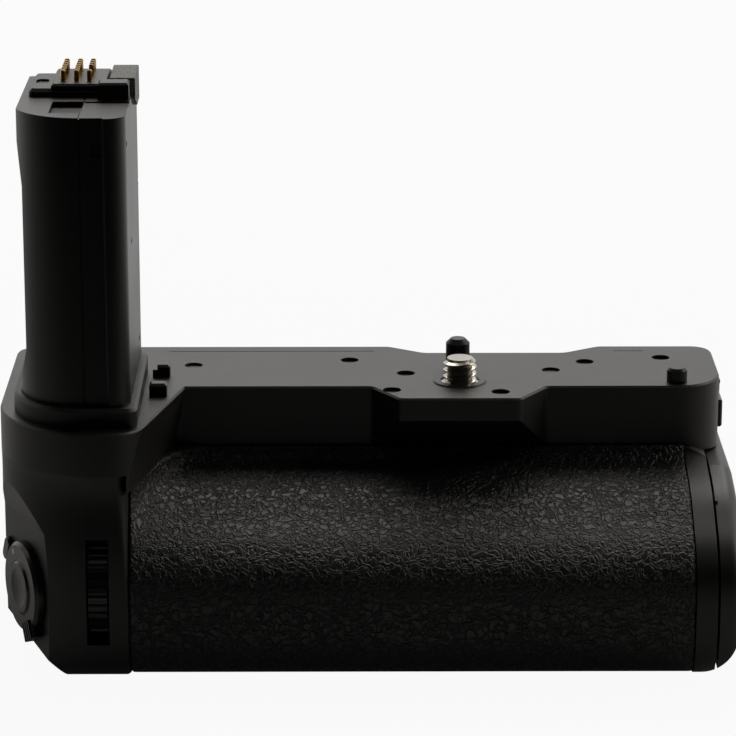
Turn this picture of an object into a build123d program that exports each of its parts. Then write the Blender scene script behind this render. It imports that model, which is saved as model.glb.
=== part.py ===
from build123d import *
import os
from math import cos, hypot, radians, sin

os.makedirs("parts", exist_ok=True)

# Camera battery grip, in millimetres, seen with the front rubber towards -Y
# X runs right, Y away from the viewer and Z up, and the grip rests on z = 0

# Driving sizes of the body
body_left = -68.8
body_back = 28.7
skirt_height = 12.0
deck_thickness = 2.0
wall = 1.8
base_rise = 0.5
grip_front = -31.4
apron_front = 0.6
rubber_skin = 1.3
rubber_left = -44.4
strip_width = 3.9
housing_right = 64.1
seam_height = 36.6
lobe_seam_rise = 3.9
rear_cover_front = 25.0
overrun = 1.0
running_gap = 0.2
slide_gap = 0.1
side_gap = 0.4

# Deck outline
deck_overhang = 3.3
lobe_front = -30.3
lobe_nose = -42.7
lobe_radius = 20.5
lobe_nose_radius = 7.0
flank_corner = -34.9
flank_radius = 4.5
flank_lean = 10.7
housing_nose = -44.9
housing_nose_radius = 3.4
bump_left = 0.6
bump_right = 33.8
bump_slant = 5.2
bump_front = -7.5
bump_height = 4.4
deck_front_radius = 9.0
deck_back_radius = 4.0
recess_left = 4.2
recess_right = 45.2
recess_slant = 6.8
recess_back = 24.2
recess_radius = 3.0
corner_radius = 1.5
deck_edge = 0.7
groove_width = 0.3
groove_depth = 0.3
groove_inset = 3.4
groove_left = -39.0
groove_end = 13.4
skirt_start = 2.8
skirt_middle_drop = 1.2
skirt_end_drop = 1.85
end_round_left = 59.5
end_round_top = 13.5

# Front grip profile, as shares of its height and reach: height, well, flank side, strip side
well_rise = 0.5
profile_shares = (
    (1.000, 0.000, 0.792, 0.000),
    (0.975, 0.004, 0.793, 0.006),
    (0.942, 0.036, 0.796, 0.080),
    (0.915, 0.127, 0.801, 0.238),
    (0.867, 0.384, 0.824, 0.472),
    (0.775, 0.629, 0.886, 0.687),
    (0.687, 0.831, 0.941, 0.857),
    (0.557, 0.967, 0.987, 0.974),
    (0.358, 1.000, 1.000, 1.000),
    (0.159, 0.974, 0.974, 0.974),
    (0.045, 0.890, 0.890, 0.890),
    (0.000, 0.775, 0.775, 0.775),
)
core_foot_points = 2
flank_length = 13.2
flank_shares = ((0.0, 1.0), (0.09, 0.82), (0.20, 0.62), (0.39, 0.35), (0.66, 0.09), (1.0, 0.0))
middle_shares = (0.25, 0.5, 0.75)
strip_length = 8.4
strip_shares = ((0.0, 0.0), (0.3, 0.14), (0.7, 0.72), (1.0, 1.0))
rubber_foot = 1.3

# Left lobe sections, as shares: height, front, corner radius, nose radius, inner edge
lobe_shares = (
    (1.0000, 0.965, 1.00, 1.00, 0.783),
    (0.8125, 0.943, 0.98, 0.50, 0.826),
    (0.5875, 0.990, 0.98, 0.25, 0.965),
    (0.2875, 1.000, 0.98, 0.12, 0.994),
    (0.0875, 0.945, 0.85, 0.12, 0.935),
    (0.0000, 0.815, 0.62, 0.12, 0.782),
)

# Slanted platform that carries the shutter button
platform_turn = 25.0
platform_x = -63.6
platform_y = -19.0
platform_z = 15.6
platform_reach = 46.0
platform_foot_drop = 10.2
platform_foot_tilt = -8.4
platform_foot_slope = 48.0
platform_ramp_rise = 12.0
platform_ramp_out = 4.2
platform_wall = 2.0

# Battery bay and magazine
bay_left = -44.6
bay_front = -16.2
bay_back = 24.8
bay_floor = 6.0
bay_roof = 2.1
tray_wall = 1.0
tray_side_height = 11.8
tray_end_gap = 0.8
pack_count = 2
pack_end_gap = 1.0
pack_top_gap = 1.1
pack_gap = 0.5
pack_edge = 1.2
cap_gap = 0.45
cap_thickness = 4.35
cap_drop = 2.0
cap_foot = 1.3
cap_back = 27.2
cap_edge = 3.0
cap_pocket_depth = 1.9
cap_pocket_radius = 12.0
gasket_width = 0.8
gasket_depth = 0.45
gasket_proud = 0.15
gasket_margin = 0.7
gasket_drop = 2.9
key_share = 0.5347
key_y = 4.3
key_recess_radius = 9.0
key_recess_depth = 1.5
key_radius = 8.6
key_plate = 0.6
key_grip_width = 3.0
key_grip_rise = 0.75
key_shaft_radius = 2.6
tongue_thickness = 0.8
tongue_width = 3.6
tongue_bite = 0.4
catch_thickness = 0.35
catch_width = 5.0
catch_length = 6.0
catch_rise = 0.9
catch_hook_drop = 2.2

# Pocket for the electronics above the bay, and the cavity in the left lobe
pocket_left = -40.0
pocket_end_wall = 4.1
pocket_front = 3.6
pocket_depth = 6.2
lobe_cavity_left = -66.8
lobe_cavity_right = -47.4
lobe_cavity_front = -27.6
lobe_cavity_bend = -23.4
lobe_cavity_corner = -53.0
lobe_cavity_floor = 11.0
dial_cavity_left = -54.5
dial_cavity_floor = 6.5

# Stalk that goes into the camera
stalk_left = -64.7
stalk_right = -43.7
stalk_front = -24.4
stalk_back = 13.4
stalk_height = 57.4
stalk_wall = 1.5
stalk_nose_radius = 12.8
stalk_side_radius = 3.6
stalk_rail_radius = 0.3
stalk_back_radius = 1.8
stalk_rail_left = -47.7
stalk_rail_proud = 0.7
stalk_split = -52.0
split_groove_half = 0.15
split_groove_depth = 0.3
waist_depth = 1.7
waist_lip = 6.0
waist_blend = 8.0
waist_foot = 4.6
waist_lip_inset = 0.8
step_slot_left = -57.7
step_slot_front = -20.0
step_slot_back = -10.0
step_groove_width = 1.5
step_slot_depth = 1.0
head_front = -5.9
head_back = 9.2
head_left = -62.5
head_rise = 1.5
head_plug_gap = 3.0
head_plug_depth = 2.5
head_edge = 0.6
insert_left = -47.7
insert_front = -3.7
insert_rise = 1.6
insert_seat_depth = 0.9
insert_edge = 0.15
insert_proud = 0.7
insert_drop = 3.1
insert_foot_front = 2.0
insert_bend_drop = 0.8
block_left = -49.6
block_front = -8.6
block_back = -4.4
block_rise = 3.1
block_edge = 0.4
plate_left = -58.3
plate_right = -48.0
plate_front = -5.9
plate_back = 9.0
plate_rise = 0.9
plate_edge = 0.4
collar_margin = 1.25
collar_height = 3.6
collar_edge = 0.6
collar_front_radius = 2.0
flex_width = 8.0
flex_depth = 0.3
flex_x = -54.0
flex_y = 6.0
board_thickness = 1.2

# Sprung contact pins
pin_radius = 0.5
pin_rise = 2.9
pin_sink = 0.4
pin_tip = 0.18
pin_row_1 = -56.3
pin_row_2 = -53.8
pin_row_3 = -51.4
pin_front = -2.5
pin_pitch = 1.75
pin_count = 7
short_row_missing = 2
barrel_wall = 0.1
barrel_gap = 0.03

# Camera screw, its gear and the attachment wheel
screw_x = 17.4
screw_y = 4.2
screw_radius = 3.175
screw_height = 4.7
screw_point = 0.6
screw_journal_radius = 1.2
screw_flange_radius = 2.6
screw_neck_radius = 2.6
pin_relief = 0.1
pin_foot_step = 0.7
ring_inner_radius = 3.7
ring_outer_radius = 5.2
ring_seat_depth = 0.8
ring_rise = 0.3
gear_module = 0.8
screw_teeth = 14
half_turn = 180
wheel_teeth = 26
wheel_turn = 61.2
gear_foot_drop = 6.3
gear_top_drop = 2.4
tooth_share = 0.36
tooth_tip_share = 0.16
root_share = 1.2
tip_share = 0.75
gear_room = 0.6
gear_foot_gap = 0.3
axle_radius = 1.5
axle_gap = 0.05
bracket_thickness = 1.0
bracket_drop = 8.0
bracket_margin = 2.4
hub_radius = 4.0

# Locating pins, hooks, deck screws and dimples
large_pin_x = 17.3
large_pin_y = 14.4
large_pin_radius = 2.3
large_pin_height = 5.7
large_pin_edge = 0.9
small_pin_inset = 8.6
small_pin_y = 3.9
small_pin_radius = 1.95
small_pin_height = 2.8
small_pin_edge = 0.5
pin_seat = 1.2
hook_left = -41.3
hook_width = 3.3
hook_depth = 2.6
hook_height = 2.4
hook_rear_y = 7.1
hook_front_y = -5.7
hook_notch = 0.9
deck_screw_shares = ((-0.42, 0.6585), (-0.204, 0.338), (-0.26, -0.0557), (0.15, -0.101), (0.494, 0.6132),
                     (0.794, 0.7108), (-1.432, -0.927))
deck_screw_head = 1.75
deck_screw_sink = 0.7
deck_screw_head_height = 0.9
deck_screw_shank = 0.9
deck_screw_length = 6.4
deck_boss_radius = 2.4
cross_width = 0.45
cross_depth = 0.4
dimple_shares = ((-1.024, 0.5366), (0.356, 0.4111))
dimple_radius = 1.75
dimple_depth = 0.5

# Shutter button, its lock ring and the small function button
ring_lift = 0.15
shutter_ring_radius = 8.6
shutter_ring_bore = 5.15
shutter_ring_height = 1.7
shutter_ring_edge = 0.6
shutter_skirt_radius = 5.9
shutter_hole_radius = 6.0
shutter_skirt_depth = 1.9
lever_reach = 10.0
lever_width = 5.6
lever_turn = -62.0
lever_rib_width = 0.5
lever_rib_rise = 0.35
button_radius = 5.05
button_top = 2.2
button_foot = 1.3
button_dish = 0.5
button_dish_radius = 14.0
button_edge = 0.4
button_stem_radius = 2.0
button_stem_end = 3.0
spring_wire = 0.4
spring_radius = 2.65
spring_foot = 3.9
spring_turns = 4.0
switch_half = 2.8
switch_depth = 2.8
dot_radius = 0.55
dot_reach = 6.9
dot_turn = 118.0
dot_depth = 0.4
function_u = -10.2
function_v = 4.4
function_length = 5.2
function_width = 2.6
function_turn = 64.0
function_proud = 0.9
function_flange = 0.5
function_flange_height = 0.7
function_room = 1.2
function_edge = 0.3
lever_rib_count = 4
lever_rib_pitch = 1.1
lever_root = 6.5
switch_board_left = -6.0
switch_board_right = 3.0
switch_board_top = 5.0

# Dials
dial_radius = 9.6
dial_width = 3.5
dial_rib_count = 34
dial_rib_rise = 0.55
dial_hub_radius = 3.0
dial_shaft_radius = 1.2
shaft_gap = 0.05
front_dial_x = -49.95
front_dial_y = -22.0
front_dial_z = 17.4
front_slot_foot = 8.25
rear_dial_x = -62.2
rear_dial_y = 21.9
rear_dial_drop = 12.5
dial_slot_width = 4.2
dial_slot_height = 20.2
shaft_seat = 1.4
encoder_width = 3.8
encoder_thickness = 3.2
front_encoder_gap = 1.4
rear_encoder_gap = 2.6

# Rear buttons, thumb stick and rear board
rear_column_x = -51.6
upper_button_share = 0.8395
upper_button_radius = 3.5
lower_button_share = 0.2568
lower_button_radius = 2.8
rear_button_top = 30.0
rear_button_room = 0.12
rear_flange = 0.6
rear_flange_thickness = 0.7
rear_stem_radius = 1.2
rear_stem_end = 22.3
rear_board_front = 20.4
rear_board_left = -54.3
rear_board_foot = 7.0
rear_board_drop = 2.3
stick_share = 0.5383
stick_pivot_y = 23.3
stick_cap_radius = 3.3
stick_cap_foot = 29.9
stick_cap_top = 31.4
stick_neck_radius = 0.9
stick_cap_edge = 0.5
stick_foot = 22.3
stick_hole_radius = 2.7
gimbal_outer = 3.3
gimbal_inner = 2.5
gimbal_half = 0.5
cradle_outer = 1.9
cradle_inner = 0.95
cradle_half = 0.5
gimbal_pin_radius = 0.3
gimbal_pin_gap = 0.05
stick_base_outer = 4.2
stick_base_inner = 3.7
stick_ear_width = 1.6
stick_ear_top = 24.3

# Thumb pad
thumb_left = -42.0
thumb_right = -14.0
thumb_foot = 7.0
thumb_drop = 3.6
thumb_proud = 1.5
thumb_radius = 6.0
thumb_edge = 1.0

# Port and its cover
port_y = 15.8
port_drop = 8.3
port_width = 8.9
port_height = 3.2
port_length = 7.0
port_shell = 0.4
port_set_back = 0.8
cover_margin = 1.1
cover_thickness = 0.9
cover_gap = 0.05
cover_plug_depth = 0.6
cover_plug_gap = 0.35
cover_edge = 0.3
hinge_radius = 0.75
hinge_pin_radius = 0.35
hinge_gap = 0.05
knuckle_height = 0.7

# Bottom and fasteners out of sight
base_plate_left = -34.0
base_plate_right = 50.0
base_plate_half = 15.0
base_plate_seat = 1.1
base_plate_radius = 5.0
socket_outer_radius = 5.0
socket_bore_radius = 3.3
socket_top = 5.4
base_screw_inset = 5.5
base_screw_head = 2.0
base_screw_shank = 1.0
base_screw_length = 3.8
rear_screw_left = -6.0
rear_screw_inset = 7.1
rear_screw_foot = 3.2
rear_screw_drop = 1.1
rear_screw_head = 1.7
rear_screw_shank = 0.8
rear_screw_length = 5.6
main_board_left = -38.0
main_board_right = 12.0
main_board_front = 5.0
main_board_back = 22.6
connector_length = 3.0
connector_height = 0.9
board_lift = 2.2
board_post_radius = 1.6
stalk_screw_length = 6.0
stalk_boss_radius = 2.2
stalk_screw_shares = ((0.2238, 0.918), (0.8476, 0.918), (0.8476, 0.1005), (0.2429, 0.328))
stalk_screw_shank = 0.8
stalk_screw_head = 1.6
stalk_screw_head_height = 0.9
notch_width = 2.1
notch_depth = 0.5
notch_drop = 7.2
notch_height = 2.3
side_hole_shares = ((0.1058, 0.9024), (0.9365, 0.655), (0.3624, 0.547), (0.828, 0.1376))
side_hole_length = 2.2
side_hole_height = 0.9
side_hole_depth = 0.6
stalk_board_left = -60.0
stalk_board_right = -47.0
stalk_board_rise = 7.4
flex_overlap = 4.0
flex_gate_front = 12.5
flex_gate_back = 18.5
dial_dish = 0.8
dial_rim = 1.8
rear_button_edge = 0.4
cap_gate_edge = 2.4
chip_shares = ((0.2, 0.511, 0.16, 0.455), (0.52, 0.625, 0.12, 0.511), (0.8, 0.4545, 0.18, 0.341))
chip_height = 1.1
cable_gate_height = 3.6
cable_gate_front = 12.0
cable_gate_back = 19.0
contact_first = 1.5
contact_pitch = 3.0
contact_count = 4
contact_width = 1.6
contact_foot = 12.0
contact_height = 3.0
contact_gap = 0.15
contact_depth = 0.5
stalk_void_left = -61.6
stalk_void_front = -14.0
stalk_nose_void_left = -56.0
stalk_nose_void_front = -22.6
head_corner = 1.2
head_dimple_x = -60.4
head_dimple_y = 1.2
head_dimple_length = 4.4
head_dimple_width = 2.4
head_dimple_depth = 0.4

low = (Align.CENTER, Align.CENTER, Align.MIN)
along_x = (0, 90, 0)
along_y = (-90, 0, 0)
along_z = (0, 0, 0)
rightward = (1, 0, 0)


# Shapes used by many pieces
def slab(x, y, z, mode=Mode.ADD):
    """A box between the two values given for each axis."""
    with Locations(((x[0] + x[1]) / 2, (y[0] + y[1]) / 2, (z[0] + z[1]) / 2)):
        Box(x[1] - x[0], y[1] - y[0], z[1] - z[0], mode=mode)


def bar(start, turn, radius, length, mode=Mode.ADD):
    """A round bar that starts at a point and runs along the axis that turn gives."""
    with Locations(Location(start, turn)):
        Cylinder(radius, length, align=low, mode=mode)


def deck_outline():
    """The plan outline of the deck as a face."""
    corners = (
        (body_left, body_back, deck_back_radius),
        (body_left, lobe_front, lobe_radius),
        (lobe_nose, lobe_front, lobe_nose_radius),
        (flank_corner, apron_front, flank_radius),
        (bump_left, apron_front, corner_radius),
        (bump_left + bump_slant, bump_front, corner_radius),
        (bump_right - bump_slant, bump_front, corner_radius),
        (bump_right, apron_front, corner_radius),
        (deck_right, apron_front, deck_front_radius),
        (deck_right, body_back, deck_back_radius),
        (recess_right, body_back, recess_radius),
        (recess_right - recess_slant, recess_back, recess_radius),
        (recess_left + recess_slant, recess_back, recess_radius),
        (recess_left, body_back, recess_radius),
    )
    with BuildSketch() as outline:
        with BuildLine():
            FilletPolyline(*[(x, y) for x, y, r in corners], radius=[r for x, y, r in corners], close=True)
        make_face()
    return outline.sketch


def grip_points(flank, strip):
    """The front profile at one station."""
    points = []
    for rise, well, flank_reach, strip_reach in profile_shares:
        reach = well + flank * (flank_reach - well) + strip * (strip_reach - well)
        y = apron_front - rubber_skin + reach * (grip_front - apron_front + rubber_skin)
        points.append((y, base_rise + rise * (well_top - base_rise)))
    return points


def grip_section(x, flank, strip, back):
    """One closed slice of the front grip at x, from the profile back to a plane."""
    points = grip_points(flank, strip)
    with BuildSketch(Plane.YZ.offset(x)) as section:
        with BuildLine():
            Spline(*points)
            Polyline(points[-1], (back, points[-1][1]), (back, points[0][1]), points[0])
        make_face()
    return section.sketch


def core_section(x, depth, back):
    """A slice of the plain core under the rubber, the middle profile moved in by depth."""
    points = grip_points(0, 0)
    inner = []
    for index, (y, z) in enumerate(points):
        before = points[max(index - 1, 0)]
        after = points[min(index + 1, len(points) - 1)]
        run = hypot(after[0] - before[0], after[1] - before[1])
        lift = depth * (after[0] - before[0]) / run if index < len(points) - core_foot_points else 0
        inner.append((y + depth * (before[1] - after[1]) / run, z + lift))
    with BuildSketch(Plane.YZ.offset(x)) as section:
        with BuildLine():
            Polyline(*inner, (back, inner[-1][1]), (back, inner[0][1]), close=True)
        make_face()
    return section.sketch


def on_platform(u, v, out, turn=0):
    """A place on the shutter platform, out from its face, turned about its normal."""
    return platform.location * Location((0, 0, 0), (0, 0, turn)) * Location((u, v, out))


def platform_cutter():
    """What lies outside the shutter platform, its foot slope and its upper ramp."""
    side = Plane(origin=platform.from_local_coords((-platform_reach, 0, 0)), x_dir=platform.z_dir,
                 z_dir=-platform.x_dir)
    ramp_top = lobe_seam_height - platform_z
    with BuildPart() as cutter:
        with BuildSketch(side):
            with BuildLine():
                Polyline(
                    (0, -platform_z),
                    (0, ramp_top - platform_ramp_rise),
                    (platform_ramp_out, ramp_top),
                    (platform_reach, ramp_top),
                    (platform_reach, -platform_z),
                    close=True,
                )
            make_face()
        extrude(amount=-2 * platform_reach)
        with Locations(on_platform(0, -platform_foot_drop, 0, 0) * Location((0, 0, 0), (0, 0, platform_foot_tilt))
                       * Location((0, 0, 0), (platform_foot_slope, 0, 0))):
            Box(2 * platform_reach, 2 * platform_reach, platform_reach, align=low)
    return cutter.part


def platform_x_at(y, depth):
    """The x of a line behind the shutter platform by depth, at a given y."""
    slope = sin(radians(platform_turn)) * (y - platform_y)
    return platform_x + (depth - slope) / cos(radians(platform_turn))


def sink_screw(head_radius, head_height, shank_radius, length, head_up):
    """A cross-head screw at the active locations, its head on the location's plane."""
    turn = 1 if head_up else -1
    with Locations((0, 0, -turn * head_height / 2)):
        Cylinder(head_radius, head_height)
    with Locations((0, 0, -turn * (head_height + length) / 2)):
        Cylinder(shank_radius, length - head_height)
    with Locations((0, 0, -turn * cross_depth / 2)):
        Box(cross_width, head_radius, cross_depth, mode=Mode.SUBTRACT)
        Box(head_radius, cross_width, cross_depth, mode=Mode.SUBTRACT)


def toothed_outline(teeth, root, tip, first_turn):
    """A toothed disc as a face, with one tooth centred on first_turn degrees."""
    pitch = 360 / teeth
    points = []
    for tooth in range(teeth):
        middle = first_turn + tooth * pitch
        for radius, share in ((root, -tooth_share), (tip, -tooth_tip_share), (tip, tooth_tip_share),
                              (root, tooth_share)):
            angle = radians(middle + share * pitch)
            points.append((radius * cos(angle), radius * sin(angle)))
    with BuildSketch() as outline:
        with BuildLine():
            Polyline(*points, close=True)
        make_face()
    return outline.sketch


def stalk_outline():
    """The plan outline of the stalk as a face."""
    with BuildSketch() as outline:
        with BuildLine():
            FilletPolyline(
                (stalk_left, stalk_back),
                (stalk_left, stalk_front),
                (stalk_rail_left, stalk_front),
                (stalk_rail_left, stalk_front - stalk_rail_proud),
                (stalk_right, stalk_front - stalk_rail_proud),
                (stalk_right, stalk_back),
                radius=[stalk_back_radius, stalk_nose_radius, stalk_rail_radius, stalk_rail_radius,
                        stalk_side_radius, stalk_back_radius],
                close=True,
            )
        make_face()
    return outline.sketch


def stalk_shell(cut_from, cut_to):
    """The hollow stalk without what lies between two values of x."""
    with BuildPart() as shell:
        with BuildSketch(Plane.XY.offset(deck_top)):
            add(stalk_outline())
        extrude(amount=stalk_top - deck_top)
        with BuildSketch(Plane.XZ.offset(-stalk_back - overrun)):
            with BuildLine():
                Polyline(
                    (stalk_left - overrun, stalk_top + overrun),
                    (stalk_left + waist_lip_inset, stalk_top + overrun),
                    (stalk_left + waist_lip_inset, stalk_top - waist_lip),
                    (stalk_left + waist_depth, stalk_top - waist_lip - waist_blend),
                    (stalk_left + waist_depth, deck_top + waist_foot + waist_blend),
                    (stalk_left, deck_top + waist_foot),
                    (stalk_left - overrun, deck_top + waist_foot),
                    close=True,
                )
            make_face()
        extrude(amount=stalk_back - stalk_front + 2 * overrun, mode=Mode.SUBTRACT)
        with BuildSketch(Plane.XY.offset(deck_top)):
            with BuildLine():
                Polyline(
                    (stalk_void_left, stalk_back - stalk_wall),
                    (stalk_void_left, stalk_void_front),
                    (stalk_nose_void_left, stalk_nose_void_front),
                    (stalk_right - stalk_wall, stalk_nose_void_front),
                    (stalk_right - stalk_wall, stalk_back - stalk_wall),
                    close=True,
                )
            make_face()
        extrude(amount=stalk_top - stalk_wall - deck_top, mode=Mode.SUBTRACT)
        slab((head_left + head_plug_gap, stalk_right - head_plug_gap),
             (head_front + head_plug_gap, head_back - head_plug_gap), (stalk_top - stalk_wall, stalk_top),
             mode=Mode.SUBTRACT)
        slab((step_slot_left, stalk_split), (step_slot_front, step_slot_back),
             (stalk_top - step_slot_depth, stalk_top), mode=Mode.SUBTRACT)
        slab((stalk_split, stalk_right + overrun), (step_slot_back - step_groove_width, step_slot_back),
             (stalk_top - step_slot_depth, stalk_top), mode=Mode.SUBTRACT)
        slab((stalk_split - split_groove_half, stalk_split + split_groove_half),
             (stalk_front, stalk_front + split_groove_depth), (deck_top, stalk_top), mode=Mode.SUBTRACT)
        slab((stalk_split - split_groove_half, stalk_split + split_groove_half), (stalk_front, head_front),
             (stalk_top - split_groove_depth, stalk_top), mode=Mode.SUBTRACT)
        slab((stalk_rail_left - notch_width, stalk_rail_left), (stalk_front, stalk_front + notch_depth),
             (notch_foot, notch_foot + notch_height), mode=Mode.SUBTRACT)
        with BuildSketch(Plane.YZ.offset(stalk_right)):
            with Locations(*side_hole_places):
                SlotOverall(side_hole_length, side_hole_height)
        extrude(amount=-side_hole_depth, dir=rightward, mode=Mode.SUBTRACT)
        with Locations([(x, y, deck_top) for x, y in stalk_screw_places]):
            Cylinder(stalk_boss_radius, stalk_screw_length, align=low)
            Cylinder(stalk_screw_shank, stalk_screw_length, align=low, mode=Mode.SUBTRACT)
        slab((cut_from, cut_to), (stalk_front - 2 * overrun, stalk_back + overrun),
             (deck_top, stalk_top + overrun), mode=Mode.SUBTRACT)
    return shell.part


def dial_form(x, y, z):
    """A ribbed dial that turns about X."""
    with BuildPart() as dial:
        with BuildSketch(Plane.YZ.offset(x - dial_width / 2)):
            with Locations((y, z)):
                add(toothed_outline(dial_rib_count, dial_radius - dial_rib_rise, dial_radius, 0))
                Circle(dial_shaft_radius, mode=Mode.SUBTRACT)
        extrude(amount=dial_width)
        for side in (x - dial_width / 2, x + dial_width / 2 - dial_dish):
            bar((side, y, z), along_x, dial_radius - dial_rim, dial_dish, mode=Mode.SUBTRACT)
            bar((side, y, z), along_x, dial_hub_radius, dial_dish)
            bar((side, y, z), along_x, dial_shaft_radius, dial_dish, mode=Mode.SUBTRACT)
    return dial.part


def rear_button(z, radius):
    """A round push button of the rear cover with its flange and stem."""
    flange_back = inner_back - running_gap / 2
    with BuildPart() as button:
        bar((rear_column_x, flange_back, z), along_y, radius, rear_button_top - flange_back)
        chamfer(button.edges().sort_by(Axis.Y)[-1], rear_button_edge)
        bar((rear_column_x, flange_back - rear_flange_thickness, z), along_y, radius + rear_flange,
            rear_flange_thickness)
        bar((rear_column_x, rear_stem_end, z), along_y, rear_stem_radius,
            flange_back - rear_flange_thickness - rear_stem_end)
    return button.part


# Sizes and places that follow from the ones above
deck_top = seam_height + skirt_height
lobe_seam_height = seam_height + lobe_seam_rise
well_top = seam_height + well_rise
rubber_right = housing_right - strip_width
deck_right = housing_right + deck_overhang
groove_right = deck_right - groove_end
pocket_right = housing_right - pocket_end_wall
pocket_floor = seam_height - pocket_depth
bay_top = pocket_floor - bay_roof
cap_top = seam_height - cap_drop
gasket_top = cap_top - gasket_drop
key_z = key_share * cap_top
stalk_top = deck_top + stalk_height
head_top = stalk_top + head_rise
plate_top = head_top + plate_rise
pin_top = head_top + pin_rise
pin_foot = head_top - pin_sink
notch_foot = stalk_top - notch_drop
stalk_board_foot = deck_top + stalk_board_rise
gear_foot = deck_top - gear_foot_drop
gear_top = deck_top - gear_top_drop
wheel_slot_foot = gear_foot - gear_foot_gap
bracket_top = deck_top - bracket_drop
screw_flange_foot = bracket_top + running_gap
thread_foot = deck_top + ring_rise + pin_relief
port_z = deck_top - port_drop
rear_dial_z = lobe_seam_height - rear_dial_drop
upper_button_z = upper_button_share * lobe_seam_height
stick_z = stick_share * lobe_seam_height
lower_button_z = lower_button_share * lobe_seam_height
rear_board_top = lobe_seam_height - rear_board_drop
thumb_top = seam_height - thumb_drop
main_board_foot = pocket_floor + board_lift
flex_floor = main_board_foot + board_thickness + connector_height
cable_gate_foot = seam_height - cable_gate_height
small_pin_x = deck_right - small_pin_inset
deck_reach = deck_right - screw_x
deck_screw_places = [(screw_x + x * deck_reach, y * body_back) for x, y in deck_screw_shares]
dimple_places = [(screw_x + x * deck_reach, y * body_back) for x, y in dimple_shares]
rear_screw_places = [(x, z) for x in (rear_screw_left, housing_right - rear_screw_inset)
                     for z in (rear_screw_foot, pocket_floor - rear_screw_drop)]
stalk_screw_places = [(stalk_left + x * (stalk_right - stalk_left), stalk_front + y * (stalk_back - stalk_front))
                      for x, y in stalk_screw_shares]
side_hole_places = [(stalk_front + y * (stalk_back - stalk_front), deck_top + z * stalk_height)
                    for y, z in side_hole_shares]
contact_places = [contact_first + index * contact_pitch for index in range(contact_count)]
platform = Plane(
    origin=(platform_x, platform_y, platform_z),
    x_dir=(sin(radians(platform_turn)), -cos(radians(platform_turn)), 0),
    z_dir=(-cos(radians(platform_turn)), -sin(radians(platform_turn)), 0),
)
wheel_distance = gear_module * (screw_teeth + wheel_teeth) / 2
wheel_x = screw_x + wheel_distance * cos(radians(wheel_turn))
wheel_y = screw_y + wheel_distance * sin(radians(wheel_turn))
screw_gear_radius = gear_module * screw_teeth / 2
wheel_radius = gear_module * wheel_teeth / 2
deck_under = deck_top - deck_thickness
inner_back = body_back - wall
cover_foot = port_z - port_height / 2 - cover_margin
cover_height = port_height + 2 * cover_margin
hinge_x = deck_right + cover_gap + hinge_radius
hinge_y = port_y + port_width / 2 + cover_margin + hinge_radius - side_gap / 2
cap_left = housing_right + cap_gap
tray_left = bay_left + tray_end_gap
tray_floor = bay_floor + running_gap
tray_front = bay_front + running_gap
tray_back = bay_back - running_gap
pack_start = tray_left + tray_wall + tray_end_gap
pack_length = (housing_right - pack_end_gap - pack_start - (pack_count - 1) * pack_gap) / pack_count
pack_thickness = bay_top - pack_top_gap - tray_floor - tray_wall
cap_right = cap_left + cap_thickness
tongue_left = cap_left + side_gap / 2
tongue_reach = bay_top + tongue_bite - key_z
catch_foot = bay_top + catch_rise
deck_face = deck_outline()
platform_waste = platform_cutter()

# What leans away from the deck's flank, and the skirt's lower end above the magazine's cap
flank_run = flank_corner - lobe_nose
flank_depth = apron_front - lobe_front
flank_fall = hypot(flank_run, flank_depth) * sin(radians(flank_lean)) / cos(radians(flank_lean))
flank_plane = Plane(origin=(lobe_nose, lobe_front, deck_top - deck_edge), x_dir=(flank_run, flank_depth, 0),
                    z_dir=(flank_depth, -flank_run, -flank_fall))
with BuildPart() as flank_waste:
    with Locations(flank_plane):
        Box(4 * lobe_radius, 4 * lobe_radius, lobe_radius, align=low)
    slab((body_left - lobe_radius, deck_right), (apron_front, body_back + lobe_radius), (-deck_top, 2 * deck_top),
         mode=Mode.SUBTRACT)
with BuildPart() as end_shelf:
    with BuildSketch(Plane.XZ.offset(-body_back - overrun)):
        with BuildLine():
            Polyline(
                (housing_right - skirt_start, seam_height),
                (housing_right, seam_height - skirt_middle_drop),
                (deck_right, seam_height - skirt_end_drop),
                (deck_right, seam_height),
                close=True,
            )
        make_face()
    extrude(amount=body_back - grip_front + 2 * overrun)
with BuildPart() as end_skirt:
    with BuildSketch(Plane.XY.offset(seam_height - skirt_end_drop)):
        add(deck_face)
    extrude(amount=skirt_end_drop)
    add(end_shelf.part, mode=Mode.INTERSECT)
with BuildPart() as end_round:
    slab((end_round_left, cap_right + overrun), (grip_front - overrun, body_back + overrun),
         (-overrun, end_round_top))
    with BuildSketch(Plane.XZ.offset(-body_back - 2 * overrun)):
        with Locations((end_round_left, end_round_top)):
            Ellipse(cap_right - end_round_left, end_round_top - base_rise)
    extrude(amount=body_back - grip_front + 4 * overrun, mode=Mode.SUBTRACT)


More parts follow.
